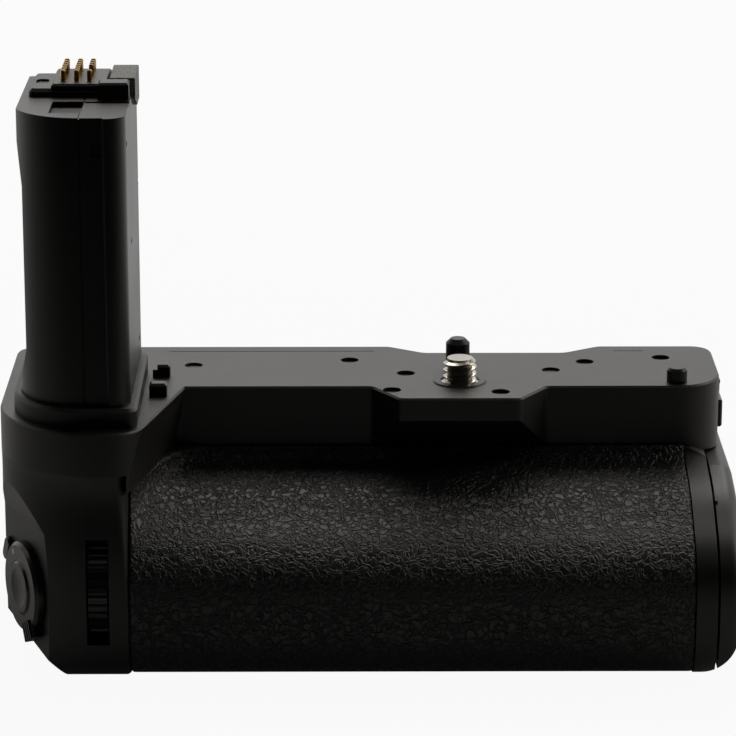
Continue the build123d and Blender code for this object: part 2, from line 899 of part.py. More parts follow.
# Top cover: deck, apron, skirt and bosses
with BuildPart() as top_cover:
    with BuildSketch(Plane.XY.offset(seam_height)):
        add(deck_face)
    extrude(amount=deck_top - seam_height)
    slab((body_left - overrun, rubber_left), (lobe_front - overrun, body_back + overrun),
         (seam_height - overrun, lobe_seam_height), mode=Mode.SUBTRACT)
    with BuildSketch(Plane.YZ.offset(bump_left - overrun)):
        with BuildLine():
            Polyline(
                (apron_front, well_top),
                (bump_front - overrun, deck_top - bump_height - overrun * (deck_top - bump_height - well_top)
                 / (bump_front - apron_front)),
                (bump_front - overrun, seam_height - overrun),
                (apron_front, seam_height - overrun),
                close=True,
            )
        make_face()
    extrude(amount=bump_right - bump_left + 2 * overrun, mode=Mode.SUBTRACT)
    add(flank_waste.part, mode=Mode.SUBTRACT)
    add(end_skirt.part)
    deck_rim = top_cover.faces().sort_by(Axis.Z)[-1].outer_wire().edges()
    chamfer(deck_rim, deck_edge / 2)
    slab((rubber_left + wall, deck_right - wall - deck_front_radius / 2),
         (apron_front + wall, recess_back - wall), (seam_height, deck_under), mode=Mode.SUBTRACT)
    slab((rubber_left + wall, deck_right - wall), (apron_front + 2 * deck_front_radius / 3, recess_back - wall),
         (seam_height, deck_under), mode=Mode.SUBTRACT)
    slab((rubber_left + wall, recess_left - wall), (recess_back - wall, inner_back),
         (seam_height, deck_under), mode=Mode.SUBTRACT)
    slab((recess_right + wall, deck_right - wall - deck_back_radius / 2), (recess_back - wall, inner_back),
         (seam_height, deck_under), mode=Mode.SUBTRACT)
    slab((body_left + wall + deck_back_radius / 4, rubber_left),
         (lobe_front + lobe_radius / 2, inner_back - deck_back_radius / 4),
         (lobe_seam_height, deck_under), mode=Mode.SUBTRACT)
    slab((rubber_left - 2 * lobe_radius / 3, rubber_left - wall - housing_nose_radius),
         (lobe_front + lobe_radius / 4, lobe_front + lobe_radius / 2), (lobe_seam_height, deck_under),
         mode=Mode.SUBTRACT)
    bar((screw_x, screw_y, wheel_slot_foot), along_z, screw_gear_radius + gear_module + gear_room,
        deck_under - wheel_slot_foot, mode=Mode.SUBTRACT)
    bar((wheel_x, wheel_y, wheel_slot_foot), along_z, wheel_radius + gear_module + gear_room,
        deck_under - wheel_slot_foot, mode=Mode.SUBTRACT)
    with Locations([(x, y, deck_under) for x, y in deck_screw_places if y > pocket_front + deck_boss_radius]):
        Cylinder(deck_boss_radius, deck_under - bracket_top, align=(Align.CENTER, Align.CENTER, Align.MAX))
    with Locations([(x, y, deck_top) for x, y in deck_screw_places]):
        Cylinder(deck_screw_head, deck_screw_sink + deck_screw_head_height,
                 align=(Align.CENTER, Align.CENTER, Align.MAX), mode=Mode.SUBTRACT)
        Cylinder(deck_screw_shank, deck_screw_sink + deck_screw_length,
                 align=(Align.CENTER, Align.CENTER, Align.MAX), mode=Mode.SUBTRACT)
    with Locations([(x, y, deck_top) for x, y in dimple_places]):
        Cylinder(dimple_radius, dimple_depth, align=(Align.CENTER, Align.CENTER, Align.MAX),
                 mode=Mode.SUBTRACT)
    bar((screw_x, screw_y, deck_under), along_z, ring_inner_radius, deck_thickness, mode=Mode.SUBTRACT)
    bar((screw_x, screw_y, deck_top - ring_seat_depth), along_z, ring_outer_radius, ring_seat_depth,
        mode=Mode.SUBTRACT)
    for x, y, radius in ((large_pin_x, large_pin_y, large_pin_radius), (small_pin_x, small_pin_y, small_pin_radius)):
        bar((x, y, deck_top - pin_seat), along_z, radius - pin_foot_step, pin_seat, mode=Mode.SUBTRACT)
    bar((screw_x, screw_y, bracket_top - bracket_thickness - gear_room), along_z, bracket_margin + gear_room,
        wheel_slot_foot - bracket_top + bracket_thickness + gear_room, mode=Mode.SUBTRACT)
    with Locations([(x, y, deck_under) for x, y in stalk_screw_places]):
        Cylinder(stalk_screw_shank, deck_thickness, align=low, mode=Mode.SUBTRACT)
        Cylinder(stalk_screw_head + side_gap, stalk_screw_head_height + side_gap,
                 align=(Align.CENTER, Align.CENTER, Align.MAX), mode=Mode.SUBTRACT)
    for foot in (cover_foot - running_gap / 2 - knuckle_height, cover_foot + cover_height + running_gap / 2):
        slab((deck_right, hinge_x + hinge_radius), (hinge_y - hinge_radius, hinge_y + hinge_radius),
             (foot, foot + knuckle_height))
        bar((hinge_x, hinge_y, foot), along_z, hinge_pin_radius, knuckle_height, mode=Mode.SUBTRACT)
    slab((flex_x - flex_width / 2 - side_gap, flex_x + flex_width / 2 + side_gap),
         (flex_y - wall, flex_y + wall), (deck_under, deck_top), mode=Mode.SUBTRACT)
    slab((groove_left, recess_left - recess_radius), (body_back - groove_inset - groove_width, body_back - groove_inset),
         (deck_top - groove_depth, deck_top), mode=Mode.SUBTRACT)
    slab((recess_right + recess_radius, groove_right), (body_back - groove_inset - groove_width, body_back - groove_inset),
         (deck_top - groove_depth, deck_top), mode=Mode.SUBTRACT)
    slab((deck_right - 2 * wall, deck_right + overrun), (port_y - port_width / 2, port_y + port_width / 2),
         (port_z - port_height / 2, port_z + port_height / 2), mode=Mode.SUBTRACT)
top_cover.part.label = "top_cover"
export_step(top_cover.part, "parts/top_cover.step")

# Front housing: left lobe, grip core, smooth strip at the right, bay and pockets
with BuildPart() as front_housing:
    for rise, front, radius, nose, edge in lobe_shares:
        with BuildSketch(Plane.XY.offset(base_rise + rise * (lobe_seam_height - base_rise))):
            with BuildLine():
                FilletPolyline(
                    (rubber_left, rear_cover_front),
                    (body_left, rear_cover_front),
                    (body_left, front * grip_front),
                    (housing_nose, front * grip_front),
                    (rubber_left, edge * grip_front),
                    radius=[0, 0, radius * lobe_radius, nose * housing_nose_radius, 0],
                    close=True,
                )
            make_face()
    loft()
    add(platform_waste, mode=Mode.SUBTRACT)
    add(core_section(rubber_left, rubber_skin, rear_cover_front))
    extrude(amount=rubber_right - rubber_left, dir=rightward)
    add(grip_section(rubber_right, 0, 1, rear_cover_front))
    extrude(amount=housing_right - rubber_right, dir=rightward)
    slab((rubber_left, housing_right + overrun), (lobe_front - overrun, rear_cover_front + overrun),
         (seam_height, lobe_seam_height), mode=Mode.SUBTRACT)
    add(end_shelf.part, mode=Mode.SUBTRACT)
    add(end_round.part, mode=Mode.SUBTRACT)
    slab((bay_left, housing_right + overrun), (bay_front, bay_back), (bay_floor, bay_top), mode=Mode.SUBTRACT)
    slab((pocket_left, pocket_right), (pocket_front, rear_cover_front), (pocket_floor, seam_height),
         mode=Mode.SUBTRACT)
    with BuildSketch(Plane.XY.offset(lobe_cavity_floor)):
        with BuildLine():
            bend = platform_y + (platform_wall - (lobe_cavity_left - platform_x) * cos(radians(platform_turn))) \
                / sin(radians(platform_turn))
            Polyline(
                (lobe_cavity_left, rear_cover_front),
                (lobe_cavity_left, bend),
                (platform_x_at(lobe_cavity_bend, platform_wall), lobe_cavity_bend),
                (lobe_cavity_corner, lobe_cavity_front),
                (lobe_cavity_right, lobe_cavity_front),
                (lobe_cavity_right, rear_cover_front),
                close=True,
            )
        make_face()
    extrude(amount=lobe_seam_height - lobe_cavity_floor, mode=Mode.SUBTRACT)
    slab((dial_cavity_left, lobe_cavity_right), (lobe_cavity_front, rear_cover_front),
         (dial_cavity_floor, lobe_cavity_floor), mode=Mode.SUBTRACT)
    slab((lobe_cavity_right, pocket_left), (cable_gate_front, cable_gate_back), (cable_gate_foot, seam_height),
         mode=Mode.SUBTRACT)
    slab((front_dial_x - dial_slot_width / 2, front_dial_x + dial_slot_width / 2),
         (grip_front - overrun, lobe_cavity_front),
         (front_slot_foot, front_slot_foot + dial_slot_height), mode=Mode.SUBTRACT)
    bar((lobe_cavity_right, front_dial_y, front_dial_z), along_x, dial_shaft_radius + shaft_gap, shaft_seat,
        mode=Mode.SUBTRACT)
    bar((lobe_cavity_left - shaft_seat, rear_dial_y, rear_dial_z), along_x, dial_shaft_radius + shaft_gap,
        shaft_seat, mode=Mode.SUBTRACT)
    with Locations(platform):
        Cylinder(shutter_hole_radius, 2 * (platform_wall + overrun), mode=Mode.SUBTRACT)
    with BuildSketch(platform.offset(overrun)):
        with Locations((function_u, function_v)):
            SlotOverall(function_length + rear_button_room, function_width + rear_button_room,
                        rotation=function_turn)
    extrude(amount=-platform_wall - 2 * overrun, mode=Mode.SUBTRACT)
    with BuildSketch(platform.offset(-platform_wall)):
        with Locations((function_u, function_v)):
            SlotOverall(function_length + 4 * function_flange, function_width + 4 * function_flange,
                        rotation=function_turn)
    extrude(amount=-function_flange_height - function_room, mode=Mode.SUBTRACT)
    with BuildSketch(Plane.XY):
        with Locations(((base_plate_left + base_plate_right) / 2, 0)):
            RectangleRounded(base_plate_right - base_plate_left, 2 * base_plate_half, base_plate_radius)
    extrude(amount=base_plate_seat, mode=Mode.SUBTRACT)
    bar((screw_x, screw_y, 0), along_z, socket_outer_radius, socket_top, mode=Mode.SUBTRACT)
    for x in (base_plate_left + base_screw_inset, base_plate_right - base_screw_inset):
        for y in (base_screw_inset - base_plate_half, base_plate_half - base_screw_inset):
            bar((x, y, 0), along_z, base_screw_shank, base_screw_length + ring_lift, mode=Mode.SUBTRACT)
    for x, z in rear_screw_places:
        bar((x, body_back - rear_screw_length, z), along_y, rear_screw_shank, rear_screw_length,
            mode=Mode.SUBTRACT)
    for x in (main_board_left + board_post_radius, main_board_right - board_post_radius):
        for y in (main_board_front + board_post_radius, recess_back - 2 * board_post_radius):
            bar((x, y, pocket_floor), along_z, board_post_radius, main_board_foot - pocket_floor)
    for y in contact_places:
        slab((lobe_cavity_right, bay_left), (y, y + contact_width), (contact_foot, contact_foot + contact_height),
             mode=Mode.SUBTRACT)
    slab((housing_right - catch_length, housing_right + overrun),
         (key_y - catch_width / 2 - side_gap, key_y + catch_width / 2 + side_gap),
         (bay_top, catch_foot + catch_thickness), mode=Mode.SUBTRACT)
front_housing.part.label = "front_housing"
export_step(front_housing.part, "parts/front_housing.step")

# Rubber front grip, glued to the housing and to the apron above it
with BuildPart() as rubber_grip:
    straight_left = rubber_left + flank_length
    straight_right = rubber_right - strip_length
    for place, flank in flank_shares:
        add(grip_section(rubber_left + place * flank_length, flank, 0, rear_cover_front))
    for place in middle_shares:
        add(grip_section(straight_left + place * (straight_right - straight_left), 0, 0, rear_cover_front))
    for place, strip in strip_shares:
        add(grip_section(straight_right + place * strip_length, 0, strip, rear_cover_front))
    loft(ruled=True)
    add(core_section(rubber_left, rubber_skin, rear_cover_front))
    extrude(amount=rubber_right - rubber_left, dir=rightward, mode=Mode.SUBTRACT)
    add(top_cover.part, mode=Mode.SUBTRACT)
    slab((rubber_left - overrun, rubber_right + overrun), (grip_front - overrun, rear_cover_front + overrun),
         (0, rubber_foot), mode=Mode.SUBTRACT)
    slab((rubber_left - overrun, rubber_right + overrun), (apron_front, rear_cover_front + overrun),
         (0, deck_top), mode=Mode.SUBTRACT)
    slab((rubber_left - overrun, rubber_left + running_gap), (grip_front - overrun, apron_front),
         (0, deck_top), mode=Mode.SUBTRACT)
rubber_grip.part.label = "rubber_grip"
export_step(rubber_grip.part, "parts/rubber_grip.step")

# Rear cover with the openings of its controls
with BuildPart() as rear_cover:
    slab((body_left, housing_right), (rear_cover_front, body_back), (base_rise, seam_height))
    slab((body_left, rubber_left), (rear_cover_front, body_back), (seam_height, lobe_seam_height))
    outer_edge = rear_cover.edges().filter_by(Axis.Z).group_by(Axis.X)[0].group_by(Axis.Y)[-1]
    fillet(outer_edge, body_back - rear_cover_front - side_gap)
    foot_edge = rear_cover.edges().filter_by(Axis.X).group_by(Axis.Z)[0].group_by(Axis.Y)[-1]
    chamfer(foot_edge, wall)
    add(platform_waste, mode=Mode.SUBTRACT)
    add(end_shelf.part, mode=Mode.SUBTRACT)
    add(end_round.part, mode=Mode.SUBTRACT)
    slab((pocket_left, pocket_right), (rear_cover_front, inner_back), (pocket_floor, seam_height),
         mode=Mode.SUBTRACT)
    slab((lobe_cavity_left, lobe_cavity_right), (rear_cover_front, inner_back),
         (dial_cavity_floor, lobe_seam_height), mode=Mode.SUBTRACT)
    slab((rear_dial_x - dial_slot_width / 2, rear_dial_x + dial_slot_width / 2), (inner_back, body_back),
         (rear_dial_z - dial_slot_height / 2, rear_dial_z + dial_slot_height / 2), mode=Mode.SUBTRACT)
    for z, radius in ((upper_button_z, upper_button_radius + rear_button_room),
                      (lower_button_z, lower_button_radius + rear_button_room), (stick_z, stick_hole_radius)):
        bar((rear_column_x, inner_back, z), along_y, radius, wall, mode=Mode.SUBTRACT)
    for x, z in rear_screw_places:
        bar((x, body_back - deck_screw_sink - deck_screw_head_height, z), along_y, rear_screw_head,
            deck_screw_sink + deck_screw_head_height, mode=Mode.SUBTRACT)
        bar((x, rear_cover_front, z), along_y, rear_screw_shank, body_back - rear_cover_front,
            mode=Mode.SUBTRACT)
rear_cover.part.label = "rear_cover"
export_step(rear_cover.part, "parts/rear_cover.step")

# Thumb pad on the rear cover
back_plane = Plane(origin=(0, body_back, 0), x_dir=(-1, 0, 0), z_dir=(0, 1, 0))
with BuildPart() as thumb_pad:
    with BuildSketch(back_plane):
        with Locations((-(thumb_left + thumb_right) / 2, (thumb_foot + thumb_top) / 2)):
            RectangleRounded(thumb_right - thumb_left, thumb_top - thumb_foot, thumb_radius)
    extrude(amount=thumb_proud)
    fillet(thumb_pad.faces().sort_by(Axis.Y)[-1].edges(), thumb_edge)
thumb_pad.part.label = "thumb_pad"
export_step(thumb_pad.part, "parts/thumb_pad.step")

# Base plate under the housing, its tripod socket and its screws
with BuildPart() as base_plate:
    with BuildSketch(Plane.XY):
        with Locations(((base_plate_left + base_plate_right) / 2, 0)):
            RectangleRounded(base_plate_right - base_plate_left, 2 * base_plate_half, base_plate_radius)
        with Locations((screw_x, screw_y)):
            Circle(socket_outer_radius, mode=Mode.SUBTRACT)
    extrude(amount=base_plate_seat)
    for x in (base_plate_left + base_screw_inset, base_plate_right - base_screw_inset):
        for y in (base_screw_inset - base_plate_half, base_plate_half - base_screw_inset):
            bar((x, y, 0), along_z, base_screw_head, base_plate_seat - side_gap, mode=Mode.SUBTRACT)
            bar((x, y, 0), along_z, base_screw_shank, base_plate_seat, mode=Mode.SUBTRACT)
base_plate.part.label = "base_plate"
export_step(base_plate.part, "parts/base_plate.step")

with BuildPart() as tripod_socket:
    bar((screw_x, screw_y, ring_lift), along_z, socket_outer_radius, socket_top - ring_lift)
    bar((screw_x, screw_y, ring_lift), along_z, socket_bore_radius, socket_top - ring_lift - running_gap,
        mode=Mode.SUBTRACT)
tripod_socket.part.label = "tripod_socket"
export_step(tripod_socket.part, "parts/tripod_socket.step")

with BuildPart() as base_screws:
    for x in (base_plate_left + base_screw_inset, base_plate_right - base_screw_inset):
        for y in (base_screw_inset - base_plate_half, base_plate_half - base_screw_inset):
            with Locations((x, y, ring_lift)):
                sink_screw(base_screw_head, base_plate_seat - side_gap - ring_lift, base_screw_shank,
                           base_screw_length, False)
base_screws.part.label = "base_screws"
export_step(base_screws.part, "parts/base_screws.step")

# Cross-head screws of the deck and of the rear cover
with BuildPart() as deck_screws:
    for x, y in deck_screw_places:
        with Locations((x, y, deck_top - deck_screw_sink)):
            sink_screw(deck_screw_head, deck_screw_head_height, deck_screw_shank, deck_screw_length, True)
deck_screws.part.label = "deck_screws"
export_step(deck_screws.part, "parts/deck_screws.step")

with BuildPart() as rear_screws:
    for x, z in rear_screw_places:
        with Locations(Location((x, body_back - deck_screw_sink, z), along_y)):
            sink_screw(rear_screw_head, deck_screw_head_height, rear_screw_shank,
                       rear_screw_length - deck_screw_sink, True)
rear_screws.part.label = "rear_screws"
export_step(rear_screws.part, "parts/rear_screws.step")

# Stalk: two half shells, head, contact plate, insert, collar and what they hold
stalk_left_shell = stalk_shell(stalk_split, stalk_right + overrun)
stalk_left_shell.label = "stalk_left_shell"
export_step(stalk_left_shell, "parts/stalk_left_shell.step")

stalk_right_shell = stalk_shell(stalk_left - overrun, stalk_split)
stalk_right_shell.label = "stalk_right_shell"
export_step(stalk_right_shell, "parts/stalk_right_shell.step")

head_right = stalk_right - running_gap
block_top = stalk_top + block_rise
pin_rows = (
    [(pin_row_1, pin_front + index * pin_pitch) for index in range(pin_count)]
    + [(pin_row_2, pin_front + index * pin_pitch) for index in range(pin_count)]
    + [(pin_row_3, pin_front + index * pin_pitch) for index in range(pin_count)
       if index == 0 or index > short_row_missing]
)
barrel_radius = pin_radius + barrel_gap + barrel_wall

with BuildPart() as stalk_head:
    with BuildSketch(Plane.XY.offset(stalk_top)):
        with Locations(((head_left + head_right) / 2, (head_front + head_back) / 2)):
            RectangleRounded(head_right - head_left, head_back - head_front, head_corner)
    extrude(amount=head_top - stalk_top)
    chamfer(stalk_head.faces().sort_by(Axis.Z)[-1].edges(), head_edge)
    slab((head_left + head_plug_gap, stalk_right - head_plug_gap),
         (head_front + head_plug_gap, head_back - head_plug_gap), (stalk_top - head_plug_depth, stalk_top))
    slab((insert_left, head_right), (insert_front, head_back - side_gap),
         (head_top - insert_seat_depth, head_top), mode=Mode.SUBTRACT)
    with BuildSketch(Plane.XY.offset(head_top)):
        with Locations((head_dimple_x, head_dimple_y)):
            SlotOverall(head_dimple_length, head_dimple_width, rotation=90)
    extrude(amount=-head_dimple_depth, mode=Mode.SUBTRACT)
    with BuildPart(mode=Mode.PRIVATE) as head_block:
        slab((block_left, head_right), (block_front, block_back), (stalk_top, block_top))
        chamfer(head_block.faces().sort_by(Axis.Z)[-1].edges(), block_edge)
    add(head_block.part)
    with Locations([(x, y, stalk_top) for x, y in pin_rows]):
        Cylinder(barrel_radius, head_top - stalk_top, align=low, mode=Mode.SUBTRACT)
stalk_head.part.label = "stalk_head"
export_step(stalk_head.part, "parts/stalk_head.step")

with BuildPart() as head_insert:
    slab((insert_left, stalk_right + insert_proud), (insert_front, head_back - side_gap),
         (head_top - insert_seat_depth, head_top + insert_rise))
    chamfer(head_insert.faces().sort_by(Axis.Z)[-1].edges(), insert_edge)
    with BuildSketch(Plane.YZ.offset(stalk_right)):
        with BuildLine():
            Polyline(
                (insert_front, head_top - insert_seat_depth),
                (head_back - side_gap, head_top - insert_seat_depth),
                (head_back - side_gap, stalk_top - insert_drop),
                (insert_foot_front, stalk_top - insert_drop),
                (insert_front, stalk_top - insert_bend_drop),
                close=True,
            )
        make_face()
    extrude(amount=insert_proud, dir=rightward)
head_insert.part.label = "head_insert"
export_step(head_insert.part, "parts/head_insert.step")

with BuildPart() as contact_plate:
    slab((plate_left, plate_right), (plate_front, plate_back), (head_top, plate_top))
    chamfer(contact_plate.faces().sort_by(Axis.Z)[-1].edges(), plate_edge)
    slab((block_left, plate_right), (plate_front, block_back), (head_top, plate_top), mode=Mode.SUBTRACT)
    with Locations([(x, y, head_top) for x, y in pin_rows]):
        Cylinder(barrel_radius, plate_top - head_top, align=low, mode=Mode.SUBTRACT)
contact_plate.part.label = "contact_plate"
export_step(contact_plate.part, "parts/contact_plate.step")

with BuildPart() as stalk_collar:
    collar_front = stalk_front - stalk_rail_proud - collar_margin
    with BuildSketch(Plane.XY.offset(deck_top)):
        with BuildLine():
            FilletPolyline(
                (stalk_left - collar_margin, stalk_back + collar_margin),
                (stalk_left - collar_margin, collar_front),
                (stalk_right + collar_margin, collar_front),
                (stalk_right + collar_margin, stalk_back + collar_margin),
                radius=[stalk_back_radius + collar_margin, stalk_nose_radius + collar_margin,
                        collar_front_radius, stalk_back_radius + collar_margin],
                close=True,
            )
        make_face()
    extrude(amount=collar_height)
    chamfer(stalk_collar.faces().sort_by(Axis.Z)[-1].edges(), collar_edge)
    with BuildSketch(Plane.XY.offset(deck_top)):
        add(stalk_outline())
    extrude(amount=collar_height, mode=Mode.SUBTRACT)
stalk_collar.part.label = "stalk_collar"
export_step(stalk_collar.part, "parts/stalk_collar.step")

with BuildPart() as stalk_board:
    slab((stalk_board_left, stalk_board_right),
         (flex_y + flex_depth / 2, flex_y + flex_depth / 2 + board_thickness),
         (stalk_board_foot, stalk_top - head_plug_depth))
stalk_board.part.label = "stalk_board"
export_step(stalk_board.part, "parts/stalk_board.step")

with BuildPart() as stalk_flex:
    slab((flex_x - flex_width / 2, flex_x + flex_width / 2), (flex_y - flex_depth / 2, flex_y + flex_depth / 2),
         (flex_floor, stalk_board_foot + flex_overlap))
    slab((flex_x - flex_width / 2, flex_x + flex_width / 2), (flex_y - flex_depth / 2, flex_gate_back),
         (flex_floor, flex_floor + flex_depth))
    slab((flex_x, main_board_left + connector_length), (flex_gate_front, flex_gate_back),
         (flex_floor, flex_floor + flex_depth))
stalk_flex.part.label = "stalk_flex"
export_step(stalk_flex.part, "parts/stalk_flex.step")

with BuildPart() as stalk_screws:
    for x, y in stalk_screw_places:
        with Locations((x, y, deck_under - stalk_screw_head_height)):
            sink_screw(stalk_screw_head, stalk_screw_head_height, stalk_screw_shank, stalk_screw_length, False)
stalk_screws.part.label = "stalk_screws"
export_step(stalk_screws.part, "parts/stalk_screws.step")

# Sprung contact pins and their barrels
with BuildPart() as contact_pins:
    with Locations([(x, y, pin_foot) for x, y in pin_rows]):
        Cylinder(pin_radius, pin_top - pin_foot, align=low)
    chamfer(contact_pins.edges().group_by(Axis.Z)[-1], pin_tip)
contact_pins.part.label = "contact_pins"
export_step(contact_pins.part, "parts/contact_pins.step")

with BuildPart() as pin_barrels:
    with Locations([(x, y, stalk_top) for x, y in pin_rows]):
        Cylinder(barrel_radius, plate_top - stalk_top, align=low)
        Cylinder(pin_radius + barrel_gap, plate_top - stalk_top, align=low, mode=Mode.SUBTRACT)
pin_barrels.part.label = "pin_barrels"
export_step(pin_barrels.part, "parts/pin_barrels.step")

# Camera screw with its gear, its ring, the attachment wheel, axle and bracket
with BuildPart() as camera_screw:
    bar((screw_x, screw_y, bracket_top - bracket_thickness), along_z, screw_journal_radius,
        screw_flange_foot - bracket_top + bracket_thickness)
    bar((screw_x, screw_y, screw_flange_foot), along_z, screw_flange_radius, gear_foot - screw_flange_foot)
    with BuildSketch(Plane.XY.offset(gear_foot)):
        with Locations((screw_x, screw_y)):
            add(toothed_outline(screw_teeth, screw_gear_radius - root_share * gear_module,
                                screw_gear_radius + tip_share * gear_module, wheel_turn))
    extrude(amount=gear_top - gear_foot)
    bar((screw_x, screw_y, gear_top), along_z, ring_inner_radius - axle_gap, deck_top - gear_top)
    bar((screw_x, screw_y, deck_top), along_z, screw_neck_radius, thread_foot - deck_top)
    bar((screw_x, screw_y, thread_foot), along_z, screw_radius, deck_top + screw_height - thread_foot)
    chamfer(camera_screw.edges().group_by(Axis.Z)[-1], screw_point)
camera_screw.part.label = "camera_screw"
export_step(camera_screw.part, "parts/camera_screw.step")

with BuildPart() as screw_ring:
    bar((screw_x, screw_y, deck_top - ring_seat_depth), along_z, ring_outer_radius, ring_seat_depth + ring_rise)
    chamfer(screw_ring.edges().group_by(Axis.Z)[-1], ring_rise)
    bar((screw_x, screw_y, deck_top - ring_seat_depth), along_z, ring_inner_radius, ring_seat_depth + ring_rise,
        mode=Mode.SUBTRACT)
screw_ring.part.label = "screw_ring"
export_step(screw_ring.part, "parts/screw_ring.step")

with BuildPart() as attachment_wheel:
    with BuildSketch(Plane.XY.offset(gear_foot)):
        with Locations((wheel_x, wheel_y)):
            add(toothed_outline(wheel_teeth, wheel_radius - root_share * gear_module,
                                wheel_radius + tip_share * gear_module, wheel_turn + half_turn * (1 + 1 / wheel_teeth)))
    extrude(amount=gear_top - gear_foot)
    bar((wheel_x, wheel_y, screw_flange_foot), along_z, hub_radius, gear_foot - screw_flange_foot)
    bar((wheel_x, wheel_y, screw_flange_foot), along_z, axle_radius + axle_gap, gear_top - screw_flange_foot,
        mode=Mode.SUBTRACT)
attachment_wheel.part.label = "attachment_wheel"
export_step(attachment_wheel.part, "parts/attachment_wheel.step")

with BuildPart() as wheel_axle:
    bar((wheel_x, wheel_y, bracket_top - bracket_thickness), along_z, axle_radius,
        deck_under - bracket_top + bracket_thickness)
wheel_axle.part.label = "wheel_axle"
export_step(wheel_axle.part, "parts/wheel_axle.step")

with BuildPart() as gear_bracket:
    with BuildSketch(Plane.XY.offset(bracket_top - bracket_thickness)):
        with Locations(deck_screw_places[1], (screw_x, screw_y), (wheel_x, wheel_y), deck_screw_places[4]):
            Circle(bracket_margin)
        make_hull()
    extrude(amount=bracket_thickness)
    bar((screw_x, screw_y, bracket_top - bracket_thickness), along_z, screw_journal_radius + axle_gap,
        bracket_thickness, mode=Mode.SUBTRACT)
    bar((wheel_x, wheel_y, bracket_top - bracket_thickness), along_z, axle_radius, bracket_thickness,
        mode=Mode.SUBTRACT)
gear_bracket.part.label = "gear_bracket"
export_step(gear_bracket.part, "parts/gear_bracket.step")

# Locating pins and hook lugs on the deck
with BuildPart() as locating_pin_large:
    bar((large_pin_x, large_pin_y, deck_top - pin_seat), along_z, large_pin_radius - pin_foot_step,
        pin_seat + pin_relief)
    bar((large_pin_x, large_pin_y, deck_top + pin_relief), along_z, large_pin_radius,
        large_pin_height - pin_relief)
    chamfer(locating_pin_large.edges().group_by(Axis.Z)[-1], large_pin_edge)
locating_pin_large.part.label = "locating_pin_large"
export_step(locating_pin_large.part, "parts/locating_pin_large.step")

with BuildPart() as locating_pin_small:
    bar((small_pin_x, small_pin_y, deck_top - pin_seat), along_z, small_pin_radius - pin_foot_step,
        pin_seat + pin_relief)
    bar((small_pin_x, small_pin_y, deck_top + pin_relief), along_z, small_pin_radius,
        small_pin_height - pin_relief)
    chamfer(locating_pin_small.edges().group_by(Axis.Z)[-1], small_pin_edge)
locating_pin_small.part.label = "locating_pin_small"
export_step(locating_pin_small.part, "parts/locating_pin_small.step")

with BuildPart() as hook_lugs:
    for y in (hook_front_y, hook_rear_y):
        slab((hook_left, hook_left + hook_width), (y, y + hook_depth), (deck_top, deck_top + hook_height))
    chamfer(hook_lugs.edges().group_by(Axis.Z)[-1], hook_notch / 2)
    slab((hook_left, hook_left + hook_notch), (hook_rear_y, hook_rear_y + hook_depth),
         (deck_top + hook_height - hook_notch, deck_top + hook_height), mode=Mode.SUBTRACT)
hook_lugs.part.label = "hook_lugs"
export_step(hook_lugs.part, "parts/hook_lugs.step")

# Shutter button, spring, switch, lock ring and index dot
with BuildPart() as shutter_ring:
    with Locations(on_platform(0, 0, ring_lift)):
        Cylinder(shutter_ring_radius, shutter_ring_height, align=low)
    chamfer(shutter_ring.faces().sort_by(Axis(platform.origin, platform.z_dir))[-1].edges(), shutter_ring_edge)
    lever_length = lever_reach - lever_root
    with Locations(on_platform(lever_root + lever_length / 2, 0, ring_lift, lever_turn)):
        Box(lever_length, lever_width, shutter_ring_height, align=low)
    for rib in range(lever_rib_count):
        across = (rib - (lever_rib_count - 1) / 2) * lever_rib_pitch
        with Locations(on_platform(lever_root + lever_length / 2, across, ring_lift + shutter_ring_height,
                                   lever_turn)):
            Box(lever_length, lever_rib_width, lever_rib_rise, align=low)
    with Locations(on_platform(0, 0, -shutter_skirt_depth)):
        Cylinder(shutter_skirt_radius, shutter_skirt_depth + ring_lift, align=low)
        Cylinder(shutter_ring_bore, shutter_skirt_depth + ring_lift + shutter_ring_height, align=low,
                 mode=Mode.SUBTRACT)
    with Locations(on_platform(dot_reach, 0, ring_lift + shutter_ring_height - dot_depth, dot_turn)):
        Cylinder(dot_radius, dot_depth, align=low, mode=Mode.SUBTRACT)
shutter_ring.part.label = "shutter_ring"
export_step(shutter_ring.part, "parts/shutter_ring.step")

with BuildPart() as ring_index:
    with Locations(on_platform(dot_reach, 0, ring_lift + shutter_ring_height - dot_depth, dot_turn)):
        Cylinder(dot_radius, dot_depth, align=low)
ring_index.part.label = "ring_index"
export_step(ring_index.part, "parts/ring_index.step")

with BuildPart() as shutter_button:
    with Locations(on_platform(0, 0, button_foot)):
        Cylinder(button_radius, button_top - button_foot, align=low)
    chamfer(shutter_button.faces().sort_by(Axis(platform.origin, platform.z_dir))[-1].edges(), button_edge)
    with Locations(on_platform(0, 0, button_top + button_dish_radius - button_dish)):
        Sphere(button_dish_radius, mode=Mode.SUBTRACT)
    with Locations(on_platform(0, 0, -button_stem_end)):
        Cylinder(button_stem_radius, button_stem_end + button_foot, align=low)
shutter_button.part.label = "shutter_button"
export_step(shutter_button.part, "parts/shutter_button.step")

with BuildPart() as shutter_spring:
    spring_height = spring_foot + button_foot - spring_wire / 2
    with BuildLine() as coil:
        Helix(spring_height / spring_turns, spring_height, spring_radius,
              center=platform.from_local_coords((0, 0, -spring_foot)), direction=platform.z_dir)
    with BuildSketch(Plane(origin=coil.line @ 0, z_dir=coil.line % 0)):
        Circle(spring_wire / 2)
    sweep(path=coil.line, is_frenet=True)
shutter_spring.part.label = "shutter_spring"
export_step(shutter_spring.part, "parts/shutter_spring.step")

